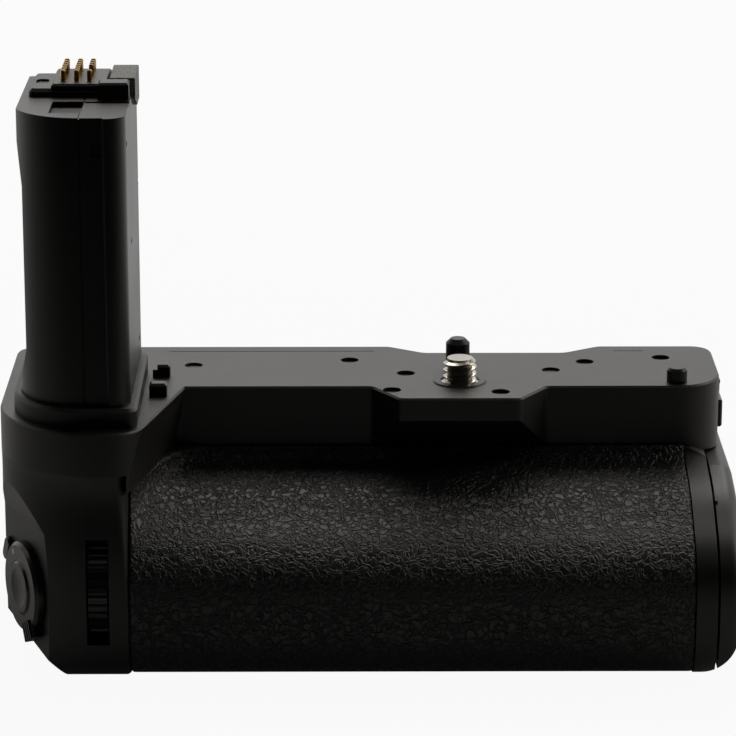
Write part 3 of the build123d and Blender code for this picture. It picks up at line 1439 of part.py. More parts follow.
with BuildPart() as shutter_switch:
    switch_face = -spring_foot - spring_wire / 2
    with Locations(on_platform(0, 0, switch_face - switch_depth)):
        Box(2 * switch_half, 2 * switch_half, switch_depth, align=low)
    board_foot = lobe_cavity_floor - platform_z
    with Locations(on_platform((switch_board_left + switch_board_right) / 2, (switch_board_top + board_foot) / 2,
                               switch_face - switch_depth - board_thickness)):
        Box(switch_board_right - switch_board_left, switch_board_top - board_foot, board_thickness, align=low)
shutter_switch.part.label = "shutter_switch"
export_step(shutter_switch.part, "parts/shutter_switch.step")

with BuildPart() as function_button:
    with BuildSketch(platform.offset(function_proud)):
        with Locations((function_u, function_v)):
            SlotOverall(function_length, function_width, rotation=function_turn)
    extrude(amount=-function_proud - platform_wall - running_gap / 2)
    chamfer(function_button.faces().sort_by(Axis(platform.origin, platform.z_dir))[-1].edges(), function_edge)
    with BuildSketch(platform.offset(-platform_wall - running_gap / 2)):
        with Locations((function_u, function_v)):
            SlotOverall(function_length + 2 * function_flange, function_width + 2 * function_flange,
                        rotation=function_turn)
    extrude(amount=-function_flange_height)
function_button.part.label = "function_button"
export_step(function_button.part, "parts/function_button.step")

# Front and rear dials with their shafts and encoders
front_dial = dial_form(front_dial_x, front_dial_y, front_dial_z)
front_dial.label = "front_dial"
export_step(front_dial, "parts/front_dial.step")

rear_dial = dial_form(rear_dial_x, rear_dial_y, rear_dial_z)
rear_dial.label = "rear_dial"
export_step(rear_dial, "parts/rear_dial.step")

front_encoder_right = front_dial_x - dial_width / 2 - front_encoder_gap
rear_encoder_left = rear_dial_x + dial_width / 2 + rear_encoder_gap

with BuildPart() as front_dial_shaft:
    bar((front_encoder_right - shaft_seat + running_gap, front_dial_y, front_dial_z), along_x, dial_shaft_radius,
        lobe_cavity_right - front_encoder_right + 2 * shaft_seat - 2 * running_gap)
front_dial_shaft.part.label = "front_dial_shaft"
export_step(front_dial_shaft.part, "parts/front_dial_shaft.step")

with BuildPart() as rear_dial_shaft:
    bar((lobe_cavity_left - shaft_seat + running_gap, rear_dial_y, rear_dial_z), along_x, dial_shaft_radius,
        rear_encoder_left - lobe_cavity_left + 2 * shaft_seat - 2 * running_gap)
rear_dial_shaft.part.label = "rear_dial_shaft"
export_step(rear_dial_shaft.part, "parts/rear_dial_shaft.step")

with BuildPart() as dial_encoders:
    half = encoder_width / 2
    slab((front_encoder_right - encoder_thickness, front_encoder_right), (front_dial_y - half, front_dial_y + half),
         (front_dial_z - half, front_dial_z + half))
    slab((front_encoder_right - encoder_thickness, dial_cavity_left - side_gap),
         (front_dial_y - half, front_dial_y + half), (lobe_cavity_floor, front_dial_z - half))
    slab((rear_encoder_left, rear_encoder_left + encoder_thickness), (rear_dial_y - half, rear_dial_y + half),
         (rear_dial_z - half, rear_dial_z + half))
    bar((front_encoder_right - shaft_seat, front_dial_y, front_dial_z), along_x, dial_shaft_radius + shaft_gap,
        shaft_seat, mode=Mode.SUBTRACT)
    bar((rear_encoder_left, rear_dial_y, rear_dial_z), along_x, dial_shaft_radius + shaft_gap, shaft_seat,
        mode=Mode.SUBTRACT)
dial_encoders.part.label = "dial_encoders"
export_step(dial_encoders.part, "parts/dial_encoders.step")

# Rear buttons, thumb stick and the board behind them
upper_button = rear_button(upper_button_z, upper_button_radius)
upper_button.label = "upper_button"
export_step(upper_button, "parts/upper_button.step")

lower_button = rear_button(lower_button_z, lower_button_radius)
lower_button.label = "lower_button"
export_step(lower_button, "parts/lower_button.step")

board_back = rear_board_front + board_thickness
with BuildPart() as rear_board:
    slab((rear_board_left, lobe_cavity_right), (rear_board_front, board_back), (rear_board_foot, rear_board_top))
rear_board.part.label = "rear_board"
export_step(rear_board.part, "parts/rear_board.step")

with BuildPart() as stick_base:
    slab((rear_column_x - stick_base_outer, rear_column_x + stick_base_outer),
         (board_back, board_back + board_thickness), (stick_z - stick_base_outer, stick_z + stick_base_outer))
    slab((rear_column_x - stick_base_inner, rear_column_x + stick_base_inner),
         (board_back, board_back + board_thickness), (stick_z - stick_base_inner, stick_z + stick_base_inner),
         mode=Mode.SUBTRACT)
    for x in (rear_column_x - stick_base_outer, rear_column_x + stick_base_inner):
        slab((x, x + stick_base_outer - stick_base_inner), (board_back, stick_ear_top),
             (stick_z - stick_ear_width / 2, stick_z + stick_ear_width / 2))
    bar((rear_column_x - stick_base_outer, stick_pivot_y, stick_z), along_x, gimbal_pin_radius + gimbal_pin_gap,
        2 * stick_base_outer, mode=Mode.SUBTRACT)
stick_base.part.label = "stick_base"
export_step(stick_base.part, "parts/stick_base.step")

with BuildPart() as stick_gimbal:
    slab((rear_column_x - gimbal_outer, rear_column_x + gimbal_outer),
         (stick_pivot_y - gimbal_half, stick_pivot_y + gimbal_half), (stick_z - gimbal_outer, stick_z + gimbal_outer))
    bar((rear_column_x - stick_base_outer, stick_pivot_y, stick_z), along_x, gimbal_pin_radius,
        2 * stick_base_outer)
    slab((rear_column_x - gimbal_inner, rear_column_x + gimbal_inner),
         (stick_pivot_y - gimbal_half, stick_pivot_y + gimbal_half), (stick_z - gimbal_inner, stick_z + gimbal_inner),
         mode=Mode.SUBTRACT)
    bar((rear_column_x, stick_pivot_y, stick_z - gimbal_outer), along_z, gimbal_pin_radius + gimbal_pin_gap,
        2 * gimbal_outer, mode=Mode.SUBTRACT)
stick_gimbal.part.label = "stick_gimbal"
export_step(stick_gimbal.part, "parts/stick_gimbal.step")

with BuildPart() as stick_cradle:
    slab((rear_column_x - cradle_outer, rear_column_x + cradle_outer),
         (stick_pivot_y - cradle_half, stick_pivot_y + cradle_half), (stick_z - cradle_outer, stick_z + cradle_outer))
    bar((rear_column_x, stick_pivot_y, stick_z - gimbal_outer), along_z, gimbal_pin_radius, 2 * gimbal_outer)
    bar((rear_column_x, stick_pivot_y - cradle_half, stick_z), along_y, cradle_inner, 2 * cradle_half,
        mode=Mode.SUBTRACT)
stick_cradle.part.label = "stick_cradle"
export_step(stick_cradle.part, "parts/stick_cradle.step")

with BuildPart() as stick_cap:
    bar((rear_column_x, stick_cap_foot, stick_z), along_y, stick_cap_radius, stick_cap_top - stick_cap_foot)
    chamfer(stick_cap.edges().sort_by(Axis.Y)[-1], stick_cap_edge)
    bar((rear_column_x, stick_foot, stick_z), along_y, stick_neck_radius, stick_cap_foot - stick_foot)
stick_cap.part.label = "stick_cap"
export_step(stick_cap.part, "parts/stick_cap.step")

# Battery magazine: tray, contacts, packs, end cap, gasket, key and catch
with BuildPart() as magazine_tray:
    slab((tray_left, cap_left), (tray_front, tray_back), (tray_floor, tray_floor + tray_side_height))
    slab((tray_left + tray_wall, cap_left - tray_wall), (tray_front + tray_wall, tray_back - tray_wall),
         (tray_floor + tray_wall, tray_floor + tray_side_height), mode=Mode.SUBTRACT)
magazine_tray.part.label = "magazine_tray"
export_step(magazine_tray.part, "parts/magazine_tray.step")

with BuildPart() as tray_contacts:
    for y in contact_places:
        slab((tray_left - contact_depth, tray_left), (y, y + contact_width),
             (contact_foot, contact_foot + contact_height))
tray_contacts.part.label = "tray_contacts"
export_step(tray_contacts.part, "parts/tray_contacts.step")

with BuildPart() as bay_contacts:
    for y in contact_places:
        slab((lobe_cavity_right - contact_depth, tray_left - contact_depth - contact_gap), (y, y + contact_width),
             (contact_foot, contact_foot + contact_height))
bay_contacts.part.label = "bay_contacts"
export_step(bay_contacts.part, "parts/bay_contacts.step")

with BuildPart() as battery_packs:
    for index in range(pack_count):
        start = pack_start + index * (pack_length + pack_gap)
        slab((start, start + pack_length), (tray_front + tray_wall + pack_gap, tray_back - tray_wall - pack_gap),
             (tray_floor + tray_wall, tray_floor + tray_wall + pack_thickness))
    chamfer(battery_packs.edges().filter_by(Axis.X), pack_edge)
battery_packs.part.label = "battery_packs"
export_step(battery_packs.part, "parts/battery_packs.step")

gasket_inner = ((bay_front - gasket_margin, bay_back + gasket_margin),
                (bay_floor - gasket_margin, gasket_top - gasket_width))
gasket_outer = ((bay_front - gasket_margin - gasket_width, bay_back + gasket_margin + gasket_width),
                (bay_floor - gasket_margin - gasket_width, gasket_top))
with BuildPart() as end_gasket:
    slab((cap_left - gasket_proud, cap_left + gasket_depth), *gasket_outer)
    slab((cap_left - gasket_proud, cap_left + gasket_depth), *gasket_inner, mode=Mode.SUBTRACT)
end_gasket.part.label = "end_gasket"
export_step(end_gasket.part, "parts/end_gasket.step")

with BuildPart() as end_cap:
    add(grip_section(cap_left, 0, 1, cap_back))
    extrude(amount=cap_thickness, dir=rightward)
    slab((cap_left, cap_right), (grip_front - overrun, cap_back), (cap_top, well_top), mode=Mode.SUBTRACT)
    slab((cap_left, cap_right), (grip_front - overrun, cap_back), (0, cap_foot), mode=Mode.SUBTRACT)
    fillet(end_cap.edges().filter_by(Axis.X).group_by(Axis.Y)[-1], cap_edge)
    fillet(end_cap.faces().sort_by(Axis.X)[-1].edges(), cap_gate_edge)
    add(end_round.part, mode=Mode.SUBTRACT)
    add(end_gasket.part, mode=Mode.SUBTRACT)
    bar((cap_left, key_y, key_z), along_x, cap_pocket_radius, cap_pocket_depth, mode=Mode.SUBTRACT)
    bar((cap_left, key_y, key_z), along_x, key_shaft_radius + slide_gap, cap_thickness, mode=Mode.SUBTRACT)
    bar((cap_right - key_recess_depth, key_y, key_z), along_x, key_recess_radius, key_recess_depth,
        mode=Mode.SUBTRACT)
end_cap.part.label = "end_cap"
export_step(end_cap.part, "parts/end_cap.step")

with BuildPart() as latch_key:
    plate_start = cap_right - key_recess_depth + slide_gap
    bar((plate_start, key_y, key_z), along_x, key_radius, key_plate)
    slab((plate_start + key_plate, plate_start + key_plate + key_grip_rise),
         (key_y - key_grip_width / 2, key_y + key_grip_width / 2),
         (key_z - key_radius + key_grip_width / 2, key_z + key_radius - key_grip_width / 2))
    bar((tongue_left + tongue_thickness, key_y, key_z), along_x, key_shaft_radius,
        plate_start - tongue_left - tongue_thickness)
    bar((tongue_left, key_y, key_z), along_x, key_shaft_radius, tongue_thickness)
    slab((tongue_left, tongue_left + tongue_thickness), (key_y - tongue_width / 2, key_y + tongue_width / 2),
         (key_z, key_z + tongue_reach))
latch_key.part.label = "latch_key"
export_step(latch_key.part, "parts/latch_key.step")

with BuildPart() as catch_spring:
    hook_start = tongue_left + tongue_thickness + catch_thickness
    slab((housing_right - catch_length, hook_start + catch_thickness),
         (key_y - catch_width / 2, key_y + catch_width / 2), (catch_foot, catch_foot + catch_thickness))
    slab((hook_start, hook_start + catch_thickness), (key_y - catch_width / 2, key_y + catch_width / 2),
         (catch_foot - catch_hook_drop, catch_foot))
catch_spring.part.label = "catch_spring"
export_step(catch_spring.part, "parts/catch_spring.step")

# Port, its hinged cover and the main board
port_mouth = deck_right - port_set_back
with BuildPart() as usb_port:
    slab((port_mouth - port_length, port_mouth), (port_y - port_width / 2, port_y + port_width / 2),
         (port_z - port_height / 2, port_z + port_height / 2))
    slab((port_mouth - port_length + 2 * port_shell, port_mouth),
         (port_y - port_width / 2 + port_shell, port_y + port_width / 2 - port_shell),
         (port_z - port_height / 2 + port_shell, port_z + port_height / 2 - port_shell), mode=Mode.SUBTRACT)
    slab((port_mouth - port_length + 2 * port_shell, port_mouth - port_set_back),
         (port_y - port_width / 2 + 2 * port_shell, port_y + port_width / 2 - 2 * port_shell),
         (port_z - port_shell, port_z + port_shell))
usb_port.part.label = "usb_port"
export_step(usb_port.part, "parts/usb_port.step")

cover_face = deck_right + cover_gap
with BuildPart() as usb_cover:
    slab((cover_face, cover_face + cover_thickness),
         (port_y - port_width / 2 - cover_margin, hinge_y), (cover_foot, cover_foot + cover_height))
    chamfer(usb_cover.faces().sort_by(Axis.X)[-1].edges(), cover_edge)
    slab((cover_face - cover_plug_depth, cover_face),
         (port_y - port_width / 2 + cover_plug_gap, port_y + port_width / 2 - cover_plug_gap),
         (port_z - port_height / 2 + cover_plug_gap, port_z + port_height / 2 - cover_plug_gap))
    bar((hinge_x, hinge_y, cover_foot), along_z, hinge_radius, cover_height)
    bar((hinge_x, hinge_y, cover_foot), along_z, hinge_pin_radius + hinge_gap, cover_height, mode=Mode.SUBTRACT)
usb_cover.part.label = "usb_cover"
export_step(usb_cover.part, "parts/usb_cover.step")

with BuildPart() as cover_hinge_pin:
    knuckle_reach = knuckle_height + running_gap / 2
    bar((hinge_x, hinge_y, cover_foot - knuckle_reach), along_z, hinge_pin_radius,
        cover_height + 2 * knuckle_reach)
cover_hinge_pin.part.label = "cover_hinge_pin"
export_step(cover_hinge_pin.part, "parts/cover_hinge_pin.step")

board_top = main_board_foot + board_thickness
board_length = main_board_right - main_board_left
board_width = main_board_back - main_board_front
with BuildPart() as main_board:
    slab((main_board_left, main_board_right), (main_board_front, main_board_back), (main_board_foot, board_top))
    for left, front, length, width in chip_shares:
        slab((main_board_left + left * board_length, main_board_left + (left + length) * board_length),
             (main_board_front + front * board_width, main_board_front + min(front + width, 1) * board_width),
             (board_top, board_top + chip_height))
    slab((main_board_left, main_board_left + connector_length), (flex_gate_front, flex_gate_back),
         (board_top, flex_floor))
main_board.part.label = "main_board"
export_step(main_board.part, "parts/main_board.step")
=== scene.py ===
from math import pi, radians

import bmesh
import bpy
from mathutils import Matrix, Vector


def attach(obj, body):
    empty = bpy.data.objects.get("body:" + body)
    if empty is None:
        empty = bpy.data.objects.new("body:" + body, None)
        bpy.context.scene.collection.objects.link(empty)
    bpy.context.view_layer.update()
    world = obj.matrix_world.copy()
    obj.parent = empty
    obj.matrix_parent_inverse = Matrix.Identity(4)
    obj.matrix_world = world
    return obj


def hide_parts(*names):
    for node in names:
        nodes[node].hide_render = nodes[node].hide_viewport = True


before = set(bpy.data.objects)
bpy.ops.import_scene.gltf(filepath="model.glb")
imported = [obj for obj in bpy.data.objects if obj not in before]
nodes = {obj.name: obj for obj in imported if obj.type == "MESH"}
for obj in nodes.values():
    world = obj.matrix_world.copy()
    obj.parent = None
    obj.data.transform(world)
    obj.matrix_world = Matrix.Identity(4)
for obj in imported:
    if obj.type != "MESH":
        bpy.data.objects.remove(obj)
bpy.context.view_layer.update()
mm = 0.001

# Camera: long lens in front of the grip and a little above it, with the stalk
# at the left and the end cap at the right, as the grip is photographed.
camera_pitch = 16.16
camera_yaw = -0.3
camera_data = bpy.data.cameras.new("camera")
camera_data.lens = 173.15
camera_data.sensor_width = 36.0
camera_data.clip_start = 0.05
camera_data.clip_end = 20.0
camera = bpy.data.objects.new("camera", camera_data)
camera.location = (-3.5 * mm, -643.8 * mm, 239.0 * mm)
camera.rotation_euler = (radians(90 - camera_pitch), 0, radians(camera_yaw))
bpy.context.scene.collection.objects.link(camera)
bpy.context.scene.camera = camera
bpy.context.scene.view_settings.view_transform = "Standard"

# Studio: a white sheet that rolls up behind the grip and ends a hand's width in
# front of it, a large soft box above and behind, and weaker ones at the sides
# and in front.
floor_reach = 1.6
floor_front = -0.14
floor_rise = 0.9
floor_back = 0.75
floor_bend = 0.35
floor_bend_steps = 12
paper_seen_share = 0.94
lamp_tint = (1.0, 0.965, 0.91)
air_plain = 0.008
air_mirrored_more = 0.004

bm = bmesh.new()
bmesh.ops.create_grid(bm, x_segments=1, y_segments=1, size=floor_reach)
back_edge = max(bm.edges, key=lambda e: sum(v.co.y for v in e.verts))
front_edge = min(bm.edges, key=lambda e: sum(v.co.y for v in e.verts))
for vert in back_edge.verts:
    vert.co.y = floor_back
for vert in front_edge.verts:
    vert.co.y = floor_front
axis_at = Vector((0, floor_back, floor_bend))
bmesh.ops.spin(bm, geom=[back_edge], cent=axis_at, axis=(1, 0, 0), angle=pi / 2, steps=floor_bend_steps,
               use_merge=False)
top_edge = max(bm.edges, key=lambda e: sum(v.co.z + v.co.y for v in e.verts))
risen = bmesh.ops.extrude_edge_only(bm, edges=[top_edge])["geom"]
bmesh.ops.translate(bm, verts=[g for g in risen if isinstance(g, bmesh.types.BMVert)], vec=(0, 0, floor_rise))
bmesh.ops.remove_doubles(bm, verts=bm.verts, dist=0.1 * mm)
floor_mesh = bpy.data.meshes.new("studio_floor")
bm.to_mesh(floor_mesh)
bm.free()
for polygon in floor_mesh.polygons:
    polygon.use_smooth = True
floor = bpy.data.objects.new("studio_floor", floor_mesh)
bpy.context.scene.collection.objects.link(floor)

floor_paper = bpy.data.materials.new("white_paper")
floor_paper.use_nodes = True
tree = floor_paper.node_tree
tree.nodes.clear()
paper_diffuse = tree.nodes.new("ShaderNodeBsdfDiffuse")
paper_diffuse.inputs["Color"].default_value = (0.5, 0.5, 0.5, 1)
paper_white = tree.nodes.new("ShaderNodeEmission")
paper_white.inputs["Color"].default_value = (1, 1, 1, 1)
paper_white.inputs["Strength"].default_value = 1.0
ray = tree.nodes.new("ShaderNodeLightPath")
paper_place = tree.nodes.new("ShaderNodeTexCoord")
paper_depth = tree.nodes.new("ShaderNodeSeparateXYZ")
paper_fade = tree.nodes.new("ShaderNodeMapRange")
paper_fade.inputs["From Min"].default_value = 0.0
paper_fade.inputs["From Max"].default_value = 0.30
paper_fade.inputs["To Min"].default_value = 0.03
paper_fade.inputs["To Max"].default_value = 0.75
mirrored = tree.nodes.new("ShaderNodeMath")
mirrored.operation = "ADD"
mirrored.use_clamp = True
faded = tree.nodes.new("ShaderNodeMath")
faded.operation = "MULTIPLY"
seen = tree.nodes.new("ShaderNodeMath")
seen.operation = "MULTIPLY"
seen.inputs[1].default_value = paper_seen_share
share = tree.nodes.new("ShaderNodeMath")
share.operation = "ADD"
share.use_clamp = True
paper_mix = tree.nodes.new("ShaderNodeMixShader")
paper_out = tree.nodes.new("ShaderNodeOutputMaterial")
tree.links.new(paper_place.outputs["Object"], paper_depth.inputs[0])
tree.links.new(paper_depth.outputs["Y"], paper_fade.inputs["Value"])
tree.links.new(ray.outputs["Is Glossy Ray"], mirrored.inputs[0])
tree.links.new(ray.outputs["Is Transmission Ray"], mirrored.inputs[1])
tree.links.new(mirrored.outputs[0], faded.inputs[0])
tree.links.new(paper_fade.outputs["Result"], faded.inputs[1])
tree.links.new(ray.outputs["Is Camera Ray"], seen.inputs[0])
tree.links.new(seen.outputs[0], share.inputs[0])
tree.links.new(faded.outputs[0], share.inputs[1])
tree.links.new(share.outputs[0], paper_mix.inputs[0])
tree.links.new(paper_diffuse.outputs[0], paper_mix.inputs[1])
tree.links.new(paper_white.outputs[0], paper_mix.inputs[2])
tree.links.new(paper_mix.outputs[0], paper_out.inputs["Surface"])
floor_mesh.materials.append(floor_paper)


def soft_box(name, place, aim, width, height, power):
    """A rectangular area lamp that faces a point."""
    lamp = bpy.data.lights.new(name, "AREA")
    lamp.shape = "RECTANGLE"
    lamp.size = width
    lamp.size_y = height
    lamp.energy = power
    lamp.color = lamp_tint
    holder = bpy.data.objects.new(name, lamp)
    holder.location = place
    holder.rotation_euler = (Vector(aim) - Vector(place)).to_track_quat("-Z", "Y").to_euler()
    bpy.context.scene.collection.objects.link(holder)


soft_box("lamp_above", place=(0.05, 0.75, 1.0), aim=(0, 0, 0.05), width=1.2, height=0.8, power=9.0)
soft_box("lamp_left", place=(-1.0, 0.25, 0.5), aim=(0, 0, 0.04), width=0.4, height=0.7, power=0.7)
soft_box("lamp_right", place=(1.0, 0.25, 0.55), aim=(0, 0, 0.05), width=0.5, height=0.8, power=4.2)
soft_box("lamp_front", place=(-0.1, -0.55, 1.15), aim=(0, 0, 0.03), width=0.6, height=0.3, power=0.2)

world = bpy.data.worlds.new("studio_air")
world.use_nodes = True
bpy.context.scene.world = world
air = world.node_tree.nodes["Background"]
air.inputs["Color"].default_value = (1, 1, 1, 1)
air_ray = world.node_tree.nodes.new("ShaderNodeLightPath")
air_mirrored = world.node_tree.nodes.new("ShaderNodeMath")
air_mirrored.operation = "MAXIMUM"
air_share = world.node_tree.nodes.new("ShaderNodeMath")
air_share.operation = "MULTIPLY_ADD"
air_share.inputs[1].default_value = air_mirrored_more
air_share.inputs[2].default_value = air_plain
air_strength = world.node_tree.nodes.new("ShaderNodeMath")
air_strength.operation = "MAXIMUM"
world.node_tree.links.new(air_ray.outputs["Is Glossy Ray"], air_mirrored.inputs[0])
world.node_tree.links.new(air_ray.outputs["Is Transmission Ray"], air_mirrored.inputs[1])
world.node_tree.links.new(air_mirrored.outputs[0], air_share.inputs[0])
world.node_tree.links.new(air_share.outputs[0], air_strength.inputs[0])
world.node_tree.links.new(air_ray.outputs["Is Camera Ray"], air_strength.inputs[1])
world.node_tree.links.new(air_strength.outputs[0], air.inputs["Strength"])


# Front housing and rear cover: glass-filled nylon shells from a spark-eroded
# tool, screwed together, with a fine even grain and a trace of handling polish.
def spark_grain_group():
    """A node group with the fine grain and the patchy polish of moulded plastic."""
    group = bpy.data.node_groups.new("spark_grain", "ShaderNodeTree")
    for name, value in (("Grain Scale", 5200.0), ("Patch Scale", 55.0), ("Dark Roughness", 0.42),
                        ("Light Roughness", 0.56)):
        socket = group.interface.new_socket(name, in_out="INPUT", socket_type="NodeSocketFloat")
        socket.default_value = value
    for name in ("Height", "Roughness", "Polish"):
        group.interface.new_socket(name, in_out="OUTPUT", socket_type="NodeSocketFloat")
    link = group.links.new
    given = group.nodes.new("NodeGroupInput")
    out = group.nodes.new("NodeGroupOutput")
    place = group.nodes.new("ShaderNodeTexCoord")
    grain = group.nodes.new("ShaderNodeTexNoise")
    grain.inputs["Detail"].default_value = 2.0
    grain.inputs["Roughness"].default_value = 0.6
    patch = group.nodes.new("ShaderNodeTexNoise")
    patch.inputs["Detail"].default_value = 5.0
    patch.inputs["Roughness"].default_value = 0.62
    spread = group.nodes.new("ShaderNodeMapRange")
    spread.inputs["From Min"].default_value = 0.3
    spread.inputs["From Max"].default_value = 0.7
    rough = group.nodes.new("ShaderNodeMapRange")
    link(place.outputs["Object"], grain.inputs["Vector"])
    link(place.outputs["Object"], patch.inputs["Vector"])
    link(given.outputs["Grain Scale"], grain.inputs["Scale"])
    link(given.outputs["Patch Scale"], patch.inputs["Scale"])
    link(patch.outputs["Fac"], spread.inputs["Value"])
    link(patch.outputs["Fac"], rough.inputs["Value"])
    link(given.outputs["Dark Roughness"], rough.inputs["To Min"])
    link(given.outputs["Light Roughness"], rough.inputs["To Max"])
    link(grain.outputs["Fac"], out.inputs["Height"])
    link(rough.outputs["Result"], out.inputs["Roughness"])
    link(spread.outputs["Result"], out.inputs["Polish"])
    return group


spark_grain = spark_grain_group()


def moulded(name, dark, light, grain_scale=5200.0, depth=0.05, smooth=0.42, dull=0.56, metallic=0.0):
    """A material on the spark grain group, from a dark to a light tone of its colour."""
    material = bpy.data.materials.new(name)
    material.use_nodes = True
    nodes_in = material.node_tree.nodes
    link = material.node_tree.links.new
    shader = nodes_in["Principled BSDF"]
    shader.inputs["Metallic"].default_value = metallic
    grain = nodes_in.new("ShaderNodeGroup")
    grain.node_tree = spark_grain
    grain.inputs["Grain Scale"].default_value = grain_scale
    grain.inputs["Dark Roughness"].default_value = smooth
    grain.inputs["Light Roughness"].default_value = dull
    tone = nodes_in.new("ShaderNodeMix")
    tone.data_type = "RGBA"
    tone.inputs["A"].default_value = (*dark, 1)
    tone.inputs["B"].default_value = (*light, 1)
    bump = nodes_in.new("ShaderNodeBump")
    bump.inputs["Strength"].default_value = 0.6
    bump.inputs["Distance"].default_value = depth * mm
    link(grain.outputs["Polish"], tone.inputs["Factor"])
    link(tone.outputs["Result"], shader.inputs["Base Color"])
    link(grain.outputs["Roughness"], shader.inputs["Roughness"])
    link(grain.outputs["Height"], bump.inputs["Height"])
    link(bump.outputs["Normal"], shader.inputs["Normal"])
    return material


def dress(material, *names):
    """Gives CAD nodes a material."""
    for name in names:
        slots = nodes[name].material_slots
        if slots:
            for slot in slots:
                slot.material = material
        else:
            nodes[name].data.materials.append(material)


shell_plastic = moulded("shell_plastic", (0.0055, 0.0054, 0.0052), (0.0095, 0.0092, 0.0088))
dress(shell_plastic, "front_housing", "rear_cover")

# Base plate: a black painted steel plate with a tripod socket of bright steel
# pressed into the housing, and four countersunk screws.
black_metal = moulded("black_metal", (0.010, 0.010, 0.0105), (0.024, 0.024, 0.025),
                      grain_scale=3000.0, depth=0.02, smooth=0.28, dull=0.42, metallic=0.55)
dress(black_metal, "base_plate", "base_screws")
machined_steel = moulded("machined_steel", (0.55, 0.52, 0.46), (0.68, 0.65, 0.58),
                         grain_scale=1800.0, depth=0.006, smooth=0.16, dull=0.3, metallic=1.0)
dress(machined_steel, "tripod_socket")

# Top cover: one moulding with the deck that the camera rests on, its grain a little coarser than that of the
# shells below, and blackened cross-head screws, their colour lifted to a grey as painted light so the heads
# show in the shade of their holes.
deck_plastic = moulded("deck_plastic", (0.006, 0.0058, 0.0055), (0.010, 0.0096, 0.009),
                       grain_scale=4300.0, depth=0.045, smooth=0.36, dull=0.48)
dress(deck_plastic, "top_cover")
# Painted light: the screws' colour is a grey much lighter than blackened steel, so the heads show in the
# shade of their holes.
screw_black_painted_light = moulded("screw_black_painted_light", (0.10, 0.097, 0.09), (0.20, 0.19, 0.175),
                      grain_scale=3000.0, depth=0.01, smooth=0.26, dull=0.42, metallic=0.8)
dress(screw_black_painted_light, "deck_screws", "rear_screws")

# Front grip: a skin of moulded rubber, glued over the housing and tucked under
# the deck, with rounded edges and the creases and pores of fine leather.
weld = 0.002
sway_reach = 2.4
noise_middle = 0.5
worm_share = 0.95
pore_share = 0.16


